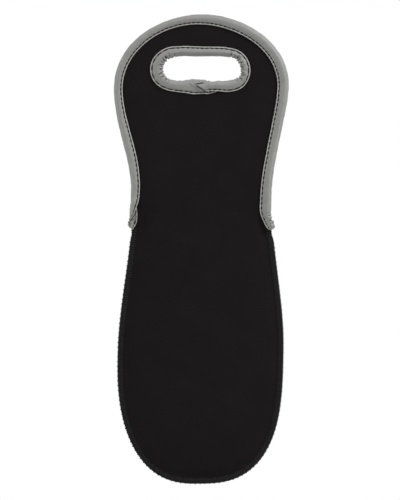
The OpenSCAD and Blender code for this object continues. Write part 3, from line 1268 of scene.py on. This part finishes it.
        # The hem: a pale band along its fold, partly a painted highlight, and painted shadow at its nose.
        if self.end.hemmed:
            slant = smooth((self.fold.depth_shares()[column] - self.hem_start) / self.hem_run)
            place = self.ends[1] - self.hem * slant
            lip = mix(lip, mix(self.hem_dark, 1, slant), hump(steps, place, self.hem_reach))
        return lip

    def form(self, step: float) -> Form:
        """The swept tape, with stations about a step apart."""
        start, finish = self.ends
        steps = self.spread(step)
        rings, chart, lips = [], [], []
        for column, depth in enumerate(self.fold.depth_shares()):
            along = self.column_lengths(steps, column)
            rings.append(self.surface(along, column))
            chart.append(np.stack([along, np.full(len(along), depth * self.flat_width)], axis=1))
            lips.append(self.lips(steps, along, column))
        rings = np.stack(rings, axis=1)
        middle = rings.mean(axis=1, keepdims=True)
        to_end = finish - steps
        if self.end.both:
            to_end = np.minimum(steps - start, to_end)
        near = 1 - np.clip(to_end / self.end.reach, 0, 1)
        shrink = np.clip(np.sqrt(self.full - near**2), self.end.least, 1)[:, None, None]
        form = Form()
        form.sweep(middle + shrink * (rings - middle), np.stack(chart, axis=1), np.stack(lips, axis=1))
        return form


@dataclass(frozen=True)
class Stitches:
    """A line of lockstitches lying in a tape's groove."""

    pitch: float
    cover: float = 0.62
    tight_cover: float = 0.86
    tight_turn: float = 0.15
    radius: float = 0.58 * MM
    sides: int = 8
    places: tuple[float, ...] = (0, 0.06, 0.2, 0.5, 0.8, 0.94, 1)
    rises: tuple[float, ...] = (-1.3, 0.0, 0.6, 0.8, 0.6, 0.0, -1.3)
    girths: tuple[float, ...] = (0.55, 0.9, 1, 1, 1, 0.9, 0.55)

    def sew(self, form: Form, tape: FoldedTape, column: int, start: float, finish: float) -> None:
        """Add the stitches along one line of a tape.

        Args:
            form: The piece that they are added to.
            tape: The tape that they hold.
            column: The line of the tape's section that they follow.
            start: Where the line begins along the edge.
            finish: Where it ends.
        """
        up = np.array([0, tape.fold.facing(column)[1], 0])
        for number in range(int((finish - start) / self.pitch)):
            first = start + number * self.pitch
            turn = np.linalg.norm(np.diff(tape.run.normal(first + np.array([0, self.pitch])), axis=0))
            cover = self.tight_cover if turn > self.tight_turn else self.cover
            along = first + (np.array(self.places) * cover + (1 - cover) / 2) * self.pitch
            line = tape.surface(along, column)
            line = line + up * (np.array(self.rises) * self.radius)[:, None]
            add_tube(form, line, up, self.radius * np.array(self.girths), self.sides)


def add_tube(form: Form, line: Array, ups: Array, radii: Array, sides: int) -> None:
    """Add a closed tube along a line.

    Args:
        form: The piece that it is added to.
        line: The points of its centre line.
        ups: A direction square to the line, one for all points or one for each.
        radii: Its radius at each point.
        sides: Number of its sides.
    """
    way = np.gradient(line, axis=0)
    way /= np.linalg.norm(way, axis=1)[:, None]
    ups = np.broadcast_to(ups, line.shape)
    across = np.cross(way, ups)
    across /= np.linalg.norm(across, axis=1)[:, None]
    above = np.cross(across, way)
    turn = np.linspace(0, 2 * math.pi, sides, endpoint=False)
    rings = (
        line[:, None, :]
        + (radii[:, None] * np.cos(turn))[:, :, None] * across[:, None, :]
        - (radii[:, None] * np.sin(turn))[:, :, None] * above[:, None, :]
    )
    along = np.broadcast_to(lengths_along(line)[:, None], rings.shape[:2])
    round_it = np.broadcast_to((turn * radii.max())[None, :], rings.shape[:2])
    form.sweep(rings, np.stack([along, round_it], axis=-1))


@dataclass(frozen=True)
class CrotchEnd:
    """How a tape narrows and bunches at a crotch, by millimetres above it.

    Attributes:
        legs: Its leg as a share of the full one.
        noses: How far its nose stands out of the edge, in millimetres.
    """

    legs: Knots
    noses: Knots


PLAIN_END = CrotchEnd(
    legs=(
        (-3.9, 0.13), (-3.2, 0.19), (-1.9, 0.36), (1.7, 0.57), (5.2, 0.7), (8.7, 0.82), (12.1, 0.92),
        (15.8, 0.99), (19.5, 1), (26, 1),
    ),
    noses=(
        (-3.9, 0.2), (-2.4, 0.8), (-1.7, 2.0), (-1.1, 2.9), (0.3, 3.4), (1.7, 3.0), (3.5, 2.8),
        (5.6, 2.3), (6.9, 1.3), (8.5, 1.45), (12.1, 0.95), (16, 0.88), (24, 0.88),
    ),
)
UNDER_END = CrotchEnd(
    legs=(
        (-3.9, 0.13), (-2.7, 0.16), (-1.9, 0.22), (0, 0.42), (1.7, 0.54), (3.5, 0.67), (5.9, 0.75),
        (8, 0.8), (10.8, 0.8), (15.8, 0.76), (17.1, 0.72), (22, 0.6),
    ),
    noses=(
        (-3.9, 0.2), (-1.7, 0.4), (-0.6, 1.8), (0.2, 2.7), (1.2, 3.1), (3.5, 3.2), (6.2, 2.8), (7.6, 2.1),
        (8.6, 1.3), (10, 0.8), (12, 0.7), (24, 0.7),
    ),
)
OVER_END = CrotchEnd(
    legs=(
        (6, 0.02), (7.5, 0.05), (9.5, 0.2), (11.3, 0.33), (13.1, 0.45), (16, 0.59), (18.6, 0.7),
        (22, 0.84), (26.3, 0.97), (32, 1),
    ),
    noses=((6, 1.5), (9, 1.65), (13.6, 1.7), (17, 1.45), (21, 1.0), (26, 0.88), (32, 0.88)),
)


@dataclass
class EdgeTape:
    """The tape folded over the free edges: over each handle, and down into both crotches."""

    outline: Outline
    laminate: Laminate
    fold: Fold = Fold()
    clear: float = 0.08 * MM
    over_threads: float = 0.6 * MM
    least_leg: float = 0.15 * MM
    wrap_h: float = 3.2 * MM
    half_start: float = -1.2 * MM
    half_run: float = 4 * MM
    lap_low: float = 6.0 * MM
    lap_high: float = 29 * MM
    lap_rise: float = 1.2 * MM
    lap_inside: float = 0.1
    lap_fade: float = 8 * MM
    lap_setback: Knots = ((0, 0), (1, 2.4))
    lap_drop: float = 5 * MM
    drop_start: float = 8 * MM
    drop_run: float = 4 * MM
    shut_run: float = 2 * MM
    step: float = 0.6 * MM
    width_waves: tuple[float, ...] = (9.3, -1.2, -0.1, 0.4, 0, -0.5, 0, -0.2, -0.1, -0.2, 0, 0.1, 0.1)
    creases: Knots = ((2.9, 0.3), (6.0, 0.4), (9.5, 0.85), (11.0, 0.4), (13.2, 0.6), (16.6, 0.35))
    under_creases: Knots = ((2.9, 0.1), (5.8, 0.3), (8.9, 0.6))
    under_lips: tuple[float, ...] = (0.6, 0.6, 0.5, 0.3) + (0,) * 21
    under_fullness: float = 0.45
    under_step: float = 0.4 * MM
    fold_slope: float = 0.75
    fold_crest: float = 1.5 * MM
    fold_pitch: float = 2.3 * MM
    fold_rise: Rise = Rise(0.45, 1.3, 1.9)
    fold_darks: tuple[Rise, Rise] = (Rise(0.85, 0.35, 0.45), Rise(0.45, 2.5, 0.5))
    stitches: Stitches = Stitches(pitch=4.5 * MM)
    stitched_from: float = 2 * MM
    lap_stitched_from: float = 16 * MM
    under_stitch: float = 4.6 * MM
    under_stitched: tuple[float, float] = (-2 * MM, 3 * MM)

    def run(self) -> Run:
        """The free edge, with a stretch of sewn side below each crotch."""
        sewn = self.outline.sewn_run()
        low = sewn.place(sewn.steps(self.outline.fine))
        low = low[low[:, 1] > self.outline.crotch - self.wrap_h]
        right, left = low[low[:, 0] > 0], low[low[:, 0] < 0]
        return Run(np.concatenate([right[:-1], self.outline.free_run().points, left[1:]]))

    def wrapped(self, run: Run, left: CrotchEnd) -> Callable[[Array], Stations]:
        """What the tape wraps at some lengths along the run.

        Args:
            run: The edge.
            left: The tape's shape at the left crotch. At the right one it is plain.

        Returns:
            A function that gives the fold's levels.
        """

        def stations(along: Array) -> Stations:
            """The fold's levels at some lengths along the run."""
            across, height = run.place(along).T
            above = height - self.outline.crotch
            pairs = ((PLAIN_END.legs, left.legs), (PLAIN_END.noses, left.noses))
            legs, noses = (
                np.where(across > 0, *[read_knots(knots, above) for knots in pair]) for pair in pairs
            )
            width = waves(1 - along / run.length, self.width_waves)
            lapped = (across < 0) * (left is OVER_END)
            lift = lapped * self.lap_rise * smooth((self.lap_high - above) / self.lap_fade)
            sewn = 1 - smooth(above / self.laminate.part_h)
            clear = mix(self.clear, self.over_threads, sewn)
            out = noses * MM - self.fold.thick
            full = width - self.fold.thick - self.clear
            leg = np.maximum(full * legs, self.least_leg - out + self.fold.thick)
            low = -self.laminate.face_depth(height) - clear - lift
            high = -self.laminate.edge_depth(height) + self.clear + self.lap_inside * lift
            half = 1 - smooth((above - self.half_start) / self.half_run)
            inner = np.minimum(out, mix(0 * out, out, smooth((above + self.wrap_h) / self.shut_run)))
            return Stations(leg, low, high, out, half, inner)

        return stations

    def along_at(self, run: Run, above: float, hand: Hand) -> float:
        """Length along the run at a height above a crotch."""
        across, height = run.points.T
        apart = np.abs(height - self.outline.crotch - above)
        there = (across * hand.value > 0) & (height < self.outline.shoulder)
        return float(run.along[np.argmin(np.where(there, apart, 1))])

    def lap_folds(self, run: Run) -> Callable[[Array, Array], Pair]:
        """Folds of the lapped end that follow the lip of the tape above it."""
        over = self.wrapped(run, OVER_END)

        def folds(along: Array, inward: Array) -> Pair:
            """Height and painted shadow of the folds at some lengths along and distances into the sheet."""
            above = run.place(along)[:, 1] - self.outline.crotch
            drop = self.lap_drop * smooth((self.drop_start - above) / self.drop_run)
            below = self.fold_slope * (inward + drop - over(along).leg)
            wave = np.cos(2 * math.pi * (below - self.fold_crest) / self.fold_pitch)
            # The darkness is a painted shadow below the lip of the tape that laps over.
            return MM * wave * self.fold_rise.at(below), sum(dark.at(below) for dark in self.fold_darks)

        return folds

    def under_marks(self, run: Run) -> Knots:
        """The creases at the left crotch, by their places along the run."""
        return tuple((run.length / MM - place, depth) for place, depth in self.under_creases)

    def build(self, side: Side) -> list[bpy.types.Object]:
        """Make the tape of one sheet, with its stitches.

        Args:
            side: The sheet. On the front the tape ends in the lap at the left crotch.

        Returns:
            The tape and its stitches, and with the front's those under the lap.
        """
        run = self.run()
        over = side is Side.FRONT
        tape = FoldedTape(
            run,
            self.fold,
            self.wrapped(run, OVER_END if over else CrotchEnd(PLAIN_END.legs, UNDER_END.noses)),
            self.stitches.pitch,
            Creases(self.creases + (() if over else self.under_marks(run))),
            ends=(0.0, self.along_at(run, self.lap_low, Hand.LEFT) if over else run.length),
            seed=0.7 * side.value,
        )
        if over:
            tape = replace(tape, setback=self.lap_setback, end=POINTED_END)
        piece = tape.form(self.step).piece(f"{side.word}_edge_binding", Tape(), side)
        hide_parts(f"{side.word}_edge_tape", *(() if over else ("right_crotch_tape",)))
        seams = Form()
        pitch = self.stitches.pitch
        first = math.ceil(self.along_at(run, self.stitched_from, Hand.RIGHT) / pitch) * pitch
        last = self.along_at(run, self.lap_stitched_from if over else self.stitched_from, Hand.LEFT)
        for column in self.fold.stitch_columns:
            self.stitches.sew(seams, tape, column, first, last)
        made = [piece, seams.piece(f"{side.word}_edge_stitches", Thread(), side)]
        for item in made:
            Hinge(side).bend(item)
        return made + (self.build_under(run) if over else [])

    def build_under(self, run: Run) -> list[bpy.types.Object]:
        """Make the end of the tape that lies under the lap at the left crotch, with its stitches."""
        tape = FoldedTape(
            run,
            replace(self.fold, fullness=self.under_fullness, lip_shares=self.under_lips),
            self.wrapped(run, UNDER_END),
            self.stitches.pitch,
            Creases(self.under_marks(run)),
            ends=(self.along_at(run, self.lap_high - self.lap_fade, Hand.LEFT), run.length),
            seed=1.9,
            folds=self.lap_folds(run),
        )
        seams = Form()
        middle = self.along_at(run, self.under_stitch, Hand.LEFT)
        start, finish = (middle + reach for reach in self.under_stitched)
        self.stitches.sew(seams, tape, self.fold.stitch_columns[0], start, finish)
        made = [
            tape.form(self.under_step).piece("crotch_lap", Tape()),
            seams.piece("crotch_stitches", Thread()),
        ]
        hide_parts("left_crotch_tape")
        for item in made:
            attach(item, "pouch")
        return made


@dataclass
class SlotTape:
    """The strip folded round a grip slot, gathered round its ends and lapped below."""

    slot: Slot
    laminate: Laminate
    fold: Fold = Fold()
    clear: float = 0.08 * MM
    under_end: float = 14.6 * MM
    over_end: float = -5.4 * MM
    setback: Knots = (
        (0, 6.8), (0.07, 2.3), (0.12, 0), (0.3, 3.0), (0.5, 5.1), (0.72, 7.1), (0.86, 8.5), (1, 10),
    )
    setback_run: float = 17 * MM
    hem_lift: float = 0.45 * MM
    hem_start: float = 12 * MM
    hem_run: float = 8 * MM
    climb: float = 11 * MM
    step: float = 0.3 * MM
    noses: Knots = (
        (-14.6, 0), (-9, 0), (-7, 0.5), (-4, 2.9), (0, 3.4), (6.9, 3.7), (8.6, 3.8), (11, 3.3),
        (13.7, 3.1), (18, 2.3), (19.2, 2.5), (22, 2.3), (24.7, 2.8), (28.7, 2.7), (31.5, 2.7),
        (34.5, 2.5), (40, 2.4), (46, 2), (52, 1.9), (57.6, 1.5), (60.5, 1.6), (70, 0.1), (80, 0.4),
        (88, 0.5), (94, 0.3), (109.7, 0.8), (112.4, 1.1), (116, 1), (128, 1.4), (132, 1.4), (135, 0.8),
        (139.5, 0.8), (141.5, 1.5), (144, 1.9), (150.8, 2.6), (153.6, 2.3), (158, 2.1), (160.4, 2.3),
        (163.2, 1.9), (167, 1.7), (170.2, 2.2), (174, 0.9), (175, 0.9), (180, 0.9),
    )
    legs: Knots = (
        (-14.6, 7.2), (-12.8, 8.3), (-10, 9.1), (-7.3, 9.7), (0, 9.9), (5, 10.2), (7, 10.4), (9.6, 10),
        (13.7, 9.2), (17.8, 8.8), (28.8, 7.8), (37, 9.5), (48, 9.9), (54, 8.9), (68, 8.4), (72, 8.7),
        (80, 8.4), (88, 8.1), (109.7, 7.5), (113.8, 6.9), (122, 7.3), (137, 8.1), (144, 8.7),
        (148, 8.2), (153, 8.1), (168, 7.5), (172, 8.1), (182, 8.2),
    )
    creases: Knots = (
        (30.4, 0.3), (32.9, 0.5), (34.4, 0.3), (37.4, 0.85), (39.9, 0.45), (41.1, 0.75), (43.9, 0.9),
        (46.1, 0.4), (48.1, 1.0), (50.3, 0.55), (52.1, 0.8), (55.7, 1.2), (58.8, 0.4), (63.1, 0.6),
        (115.2, 0.6), (118.6, 0.35), (120.6, 0.9), (123.2, 0.6), (126.3, 1.0), (128.1, 0.4),
        (130.4, 0.85), (132.3, 0.35), (134.6, 0.7), (137.1, 0.95), (139.9, 0.8), (142.9, 0.35),
    )
    stitches: Stitches = Stitches(pitch=4.4 * MM)
    tacks: Stitches = Stitches(pitch=3.0 * MM, cover=0.6, radius=0.66 * MM)
    tacked: tuple[float, float] = (2 * MM, 22 * MM)
    unstitched: float = 10.6 * MM
    tip_room: float = 0.3 * MM
    lower_edge: tuple[float, float] = (1.3 * MM, 9.7 / 6.9)
    upper_edge: tuple[float, float] = (1.0 * MM, -5.2)
    beside_slope: float = 0.58
    beside_rises: tuple[Rise, ...] = (Rise(0.5, 1.6, 0.75), Rise(-0.35, 0.2, 0.7), Rise(-0.2, 3.4, 1.0))
    beside_dark: Rise = Rise(0.75, 0.25, 0.6)
    covered: float = 0.75
    covered_run: float = 1.5 * MM
    ahead_slope: float = 0.19
    ahead_dark: Rise = Rise(0.9, 0.25, 0.45)
    ahead_far: float = 8 * MM
    fade: float = 2 * MM

    def lap_folds(self, run: Run) -> Callable[[Array, Array], Pair]:
        """Folds of the strip's start beside the end that lies on it.

        Two straight edges run from the end's tip, a lower one to the lip and an upper one to the nose.
        Each is given by the depth at which it starts and by its slope.
        """

        def folds(along: Array, inward: Array) -> Pair:
            """Height and painted shadow of the folds at some lengths along and depths below the cut."""
            start_half = along < run.length / 2
            across = self.under_end - along
            tip = self.over_end + self.tip_room
            lower, upper = (
                tip + slope * (inward - place) for place, slope in (self.lower_edge, self.upper_edge)
            )
            beside = self.beside_slope * (lower - across)
            near = smooth(inward / self.fade + 0.6) * start_half
            rise = sum(part.at(beside) for part in self.beside_rises)
            rise -= self.covered * smooth((across - np.maximum(lower, upper)) / self.covered_run)
            ahead = smooth((across - tip) / self.covered_run + 0.6)
            ahead *= smooth((tip + self.ahead_far - across) / self.fade)
            # Painted shadow beside the end that lies on the strip and in the gap above its upper edge.
            dark = self.beside_dark.at(beside) * smooth(inward / MM)
            dark += ahead * self.ahead_dark.at(self.ahead_slope * (upper - across))
            return MM * rise * near, dark * start_half

        return folds

    def wrapped(self, run: Run) -> Callable[[Array], Stations]:
        """What the strip wraps at some lengths along the run."""

        def stations(along: Array) -> Stations:
            """The fold's levels at some lengths along the run."""
            place = along - self.under_end
            lap_start = run.length - (self.under_end - self.over_end) - self.climb
            lift = (self.fold.thick + self.clear) * smooth((along - lap_start) / self.climb)
            hem = self.hem_lift * smooth((along - run.length + self.hem_start) / self.hem_run)
            flat = self.laminate.handle_gap / 2
            thick = 2 * self.laminate.jersey + self.laminate.foam
            low = np.full(len(along), -flat - thick - self.clear) - lift - hem
            high = np.full(len(along), -flat + self.clear) + lift
            out = MM * read_knots(self.noses, place) - self.fold.thick
            return Stations(MM * read_knots(self.legs, place), low, high, out, 0 * along, out)

        return stations

    def build(self, side: Side) -> list[bpy.types.Object]:
        """Make the strip of one slot, with its stitches."""
        run = self.slot.run_between(self.under_end, self.over_end)
        marks = tuple((place + self.under_end / MM, depth) for place, depth in self.creases)
        tape = FoldedTape(
            run,
            self.fold,
            self.wrapped(run),
            self.stitches.pitch,
            Creases(marks),
            ends=(0.0, run.length),
            seed=0.4 * side.value,
            folds=self.lap_folds(run),
            setback=self.setback,
            setback_run=self.setback_run,
            end=HEMMED_END,
        )
        piece = tape.form(self.step).piece(f"{side.word}_slot_binding", Tape(), side)
        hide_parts(f"{side.word}_slot_tape")
        seams = Form()
        for column in self.fold.stitch_columns:
            self.stitches.sew(seams, tape, column, self.tacked[1], run.length - self.unstitched)
            self.tacks.sew(seams, tape, column, *self.tacked)
        made = [piece, seams.piece(f"{side.word}_slot_stitches", Thread(), side)]
        for item in made:
            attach(item, f"{side.word}_handle")
        return made


@dataclass
class Overlock:
    """The threads that join both sheets round the pouch: a looper on each face and a purled edge.

    Attributes:
        outline: The sheets' outline.
        laminate: Their depth.
        pitch: Length of a stitch.
        reach: Distance of the needle line from the edge.
        radius: Radius of a looper thread.
        sides: Number of a looper thread's sides.
        start: Where the first stitch begins.
        thread: What it is sewn with.
        steps: Places along one looper stitch, as shares of it.
        outs: How far out of the edge these places lie, as shares of the reach.
        depths: How far they lie from the middle plane, as shares of the face's depth.
        loop_spread: Shares by which the loops differ, in two waves from stitch to stitch.
        purl: How far the purl stands out of the edge.
        purl_shares: Shares of that between two knots and at a knot.
        purl_depth: How far round the faces it reaches, as a share of their depth.
        thin_shares: Shares of that between two knots and at a knot.
        purl_sides: Number of points round it.
        purl_step: Distance between its stations.
        tight_run: Length from a crotch over which it grows to its whole size.
        tight: Share of its size at the crotch.
        every_other: How far every other knot stands out, in millimetres.
        odd: Most by which single knots differ, in millimetres.
        bulge: How far its middle leads or lags along the edge.
    """

    outline: Outline
    laminate: Laminate
    pitch: float = 2.2 * MM
    reach: float = 4.6 * MM
    radius: float = 0.3 * MM
    sides: int = 6
    start: float = 1 * MM
    thread: Thread = Thread(colour=(0.028, 0.0262, 0.027), use="overlock")
    steps: tuple[float, ...] = (0, 0.06, 0.14, 0.24, 0.36, 0.46, 0.5, 0.54, 0.64, 0.76, 0.86, 0.94)
    outs: tuple[float, ...] = (-1, -0.96, -0.72, -0.3, -0.02, 0.08, 0.1, 0.08, -0.02, -0.3, -0.72, -0.96)
    depths: tuple[float, ...] = (0.86, 1.03, 1.05, 1.03, 0.9, 0.6, 0.4, 0.6, 0.9, 1.03, 1.05, 1.03)
    loop_spread: tuple[float, float] = (0.06, 0.04)
    purl: float = 0.82 * MM
    purl_shares: tuple[float, float] = (0.5, 0.95)
    purl_depth: float = 0.62
    thin_shares: tuple[float, float] = (0.9, 1.0)
    purl_sides: int = 10
    purl_step: float = 0.3 * MM
    tight_run: float = 20 * MM
    tight: float = 0.2
    every_other: float = 0.28
    odd: float = 0.12
    bulge: float = 0.35 * MM

    def build(self) -> list[bpy.types.Object]:
        """Make the looper threads of both faces and the purl along the edge."""
        run = self.outline.sewn_run()
        count = int((run.length - 2 * self.start) / self.pitch)
        line, ups = self.looper(run, count)
        made = []
        for side in Side:
            form = Form()
            add_tube(form, line, ups, np.full(len(line), self.radius), self.sides)
            made.append(form.piece(f"{side.word}_looper_thread", self.thread, side))
        made.append(self.purl_edge(run))
        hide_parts("side_seam")
        for piece in made:
            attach(piece, "pouch")
        return made

    def purl_edge(self, run: Run) -> bpy.types.Object:
        """Make the edge where the loopers lock: a knot for each stitch, every other one larger."""
        along = run.steps(self.purl_step)[4:-4]
        turns = (along - self.start) / self.pitch
        knot = smooth(0.4 + 0.7 * np.cos(2 * math.pi * turns))
        number = np.floor(turns + 0.5)
        uneven = self.every_other * np.cos(math.pi * turns) + self.odd * np.sin(2.4 * number) * knot
        around = np.linspace(0, 2 * math.pi, self.purl_sides, endpoint=False)[None, :]
        depth = self.purl_depth * self.laminate.face_depth(run.place(along)[:, 1])
        near = smooth(np.minimum(along, run.length - along) / self.tight_run)
        out = (self.purl * mix(*self.purl_shares, knot) + MM * uneven) * mix(self.tight, 1, near)
        outs = np.cos(around) * out[:, None]
        through = np.sin(around) * (depth * mix(*self.thin_shares, knot))[:, None]
        place = along[:, None] + self.bulge * np.sin(around) ** 2 * np.sign(np.sin(around))
        rings = run.off_at(place, outs, through)
        chart = np.stack([np.broadcast_to(along[:, None], outs.shape), through], axis=-1)
        form = Form()
        form.sweep(rings[:, ::-1], chart[:, ::-1])
        return form.piece("purl_thread", self.thread)

    def looper(self, run: Run, count: int) -> Pair:
        """The centre line of a looper thread, which goes from the needle line round the edge and back.

        Args:
            run: The sewn edge.
            count: Number of stitches.

        Returns:
            The points of the line, and the direction away from the sheet at each.
        """
        outs = np.array(self.outs)
        number = np.arange(count)[:, None]
        slow, fast = self.loop_spread
        uneven = slow * np.sin(number * 2.4) + fast * np.sin(number * 5.1)
        along = ((number + np.array(self.steps) + 0.5) * self.pitch + self.start).ravel()
        out = (outs * self.reach * (1 + uneven)).ravel()
        depth = np.tile(self.depths, count) * self.laminate.face_depth(run.place(along)[:, 1])
        normal = run.normal(along)
        edge = smooth(np.tile(1 + outs, count) ** 4)[:, None]
        outward = np.stack([normal[:, 0], 0 * depth, normal[:, 1]], axis=1)
        return run.off_at(along, out, -depth), mix(np.array([0, -1.0, 0]), outward, edge)


@dataclass(frozen=True)
class Lamp:
    """A soft square lamp: its name, its place and width in metres, and its power in watts."""

    name: str
    place: tuple[float, float, float]
    width: float
    power: float

    def shine(self, target: Vector) -> None:
        """Hang the lamp so that it shines at a target."""
        data = bpy.data.lights.new(self.name, "AREA")
        data.size = self.width
        data.energy = self.power
        lamp = bpy.data.objects.new(self.name, data)
        lamp.location = self.place
        lamp.rotation_euler = (target - Vector(self.place)).to_track_quat("-Z", "Y").to_euler()
        bpy.context.scene.collection.objects.link(lamp)


@dataclass
class Studio:
    """Plain white surroundings, soft lamps and the camera."""

    view_height: float = 457 * MM
    centre: tuple[float, float] = (-1.37 * MM, -176.9 * MM)
    front: float = -8 * MM
    lens: float = 400.0
    sensor: float = 36.0
    floor_drop: float = 0.36
    floor_half: float = 3.0
    white_from: float = 0.7
    white_to: float = 1.4
    sky_light: float = 0.1
    lamps: tuple[Lamp, ...] = (
        Lamp("key_lamp", (1.6, -0.62, 1.2), 0.65, 54),
        Lamp("fill_lamp", (-1.9, -0.65, 0.75), 1.0, 32),
        Lamp("rear_lamp", (0.3, 1.8, 0.9), 1.4, 14),
    )

    def camera(self) -> None:
        """Set the camera square to the front."""
        data = bpy.data.cameras.new("camera")
        data.lens = self.lens
        data.sensor_fit = "VERTICAL"
        data.sensor_height = self.sensor
        camera = bpy.data.objects.new("camera", data)
        distance = self.view_height * self.lens / self.sensor
        camera.location = (self.centre[0], self.front - distance, self.centre[1])
        camera.rotation_euler = (math.pi / 2, 0, 0)
        bpy.context.scene.collection.objects.link(camera)
        bpy.context.scene.camera = camera

    def surroundings(self) -> None:
        """White to the camera and in reflections, and a dim even light otherwise."""
        nodes = Nodes(bpy.data.worlds.new("surroundings"))
        rays = nodes.add("LightPath").outputs
        seen = nodes.math("MAXIMUM", rays["Is Camera Ray"], rays["Is Glossy Ray"])
        shown = nodes.math("MAXIMUM", seen, rays["Is Transmission Ray"])
        strength = nodes.span(shown, self.sky_light, 1.0)
        sky = nodes.add("Background", Color=(1, 1, 1, 1), Strength=strength)
        bpy.context.scene.world = nodes.finish(sky, "OutputWorld")

    def floor(self) -> None:
        """A pale floor well below the hanging carrier, which whitens with distance."""
        mesh = bpy.data.meshes.new("floor")
        half, level = self.floor_half, CAD_BOX[0][2] - self.floor_drop
        corners = [(x * half, y * half, level) for x, y in ((-1, -1), (1, -1), (1, 1), (-1, 1))]
        mesh.from_pydata(corners, [], [(0, 1, 2, 3)])
        nodes = Nodes(bpy.data.materials.new("floor"))
        chart = nodes.add("TexCoord").outputs["Object"]
        away = nodes.add("VectorMath", {"operation": "LENGTH"}, in0=chart).outputs["Value"]
        far = nodes.add("MapRange", Value=away, From_Min=self.white_from, From_Max=self.white_to).outputs[0]
        seen = nodes.times(nodes.add("LightPath").outputs["Is Camera Ray"], far)
        matt = nodes.add("BsdfDiffuse", Color=(0.86, 0.86, 0.86, 1)).outputs[0]
        white = nodes.add("Emission", Color=(1, 1, 1, 1), Strength=1.0).outputs[0]
        mesh.materials.append(nodes.finish(nodes.add("MixShader", in0=seen, in1=matt, in2=white)))
        floor = bpy.data.objects.new("floor", mesh)
        bpy.context.scene.collection.objects.link(floor)

    def build(self) -> None:
        """Set up the camera, lamps, floor and surroundings."""
        self.camera()
        self.surroundings()
        self.floor()
        for lamp in self.lamps:
            lamp.shine(Vector((0, 0, self.centre[1])))
        bpy.context.scene.view_settings.view_transform = "Standard"


@dataclass
class Carrier:
    """The whole carrier, built sub-assembly by sub-assembly."""

    outline: Outline = Outline()
    slot: Slot = Slot()

    def build(self) -> list[bpy.types.Object]:
        """Make every piece of the carrier."""
        laminate = Laminate(self.outline)
        sheets = Sheets(self.outline, self.slot, laminate)
        edge_tape = EdgeTape(self.outline, laminate)
        slot_tape = SlotTape(self.slot, laminate)
        made = []
        for side in Side:
            made += sheets.build(side)
            made += edge_tape.build(side)
            made += slot_tape.build(side)
        made += Overlock(self.outline, laminate).build()
        return made


def main() -> None:
    """Build the carrier and its surroundings, and log the number of points of each piece."""
    logging.basicConfig(level=logging.INFO, format="%(name)s: %(message)s")
    Studio().build()
    for piece in Carrier().build():
        LOG.info("%s: %d points", piece.name, len(piece.data.vertices))


if __name__ == "__main__":
    main()
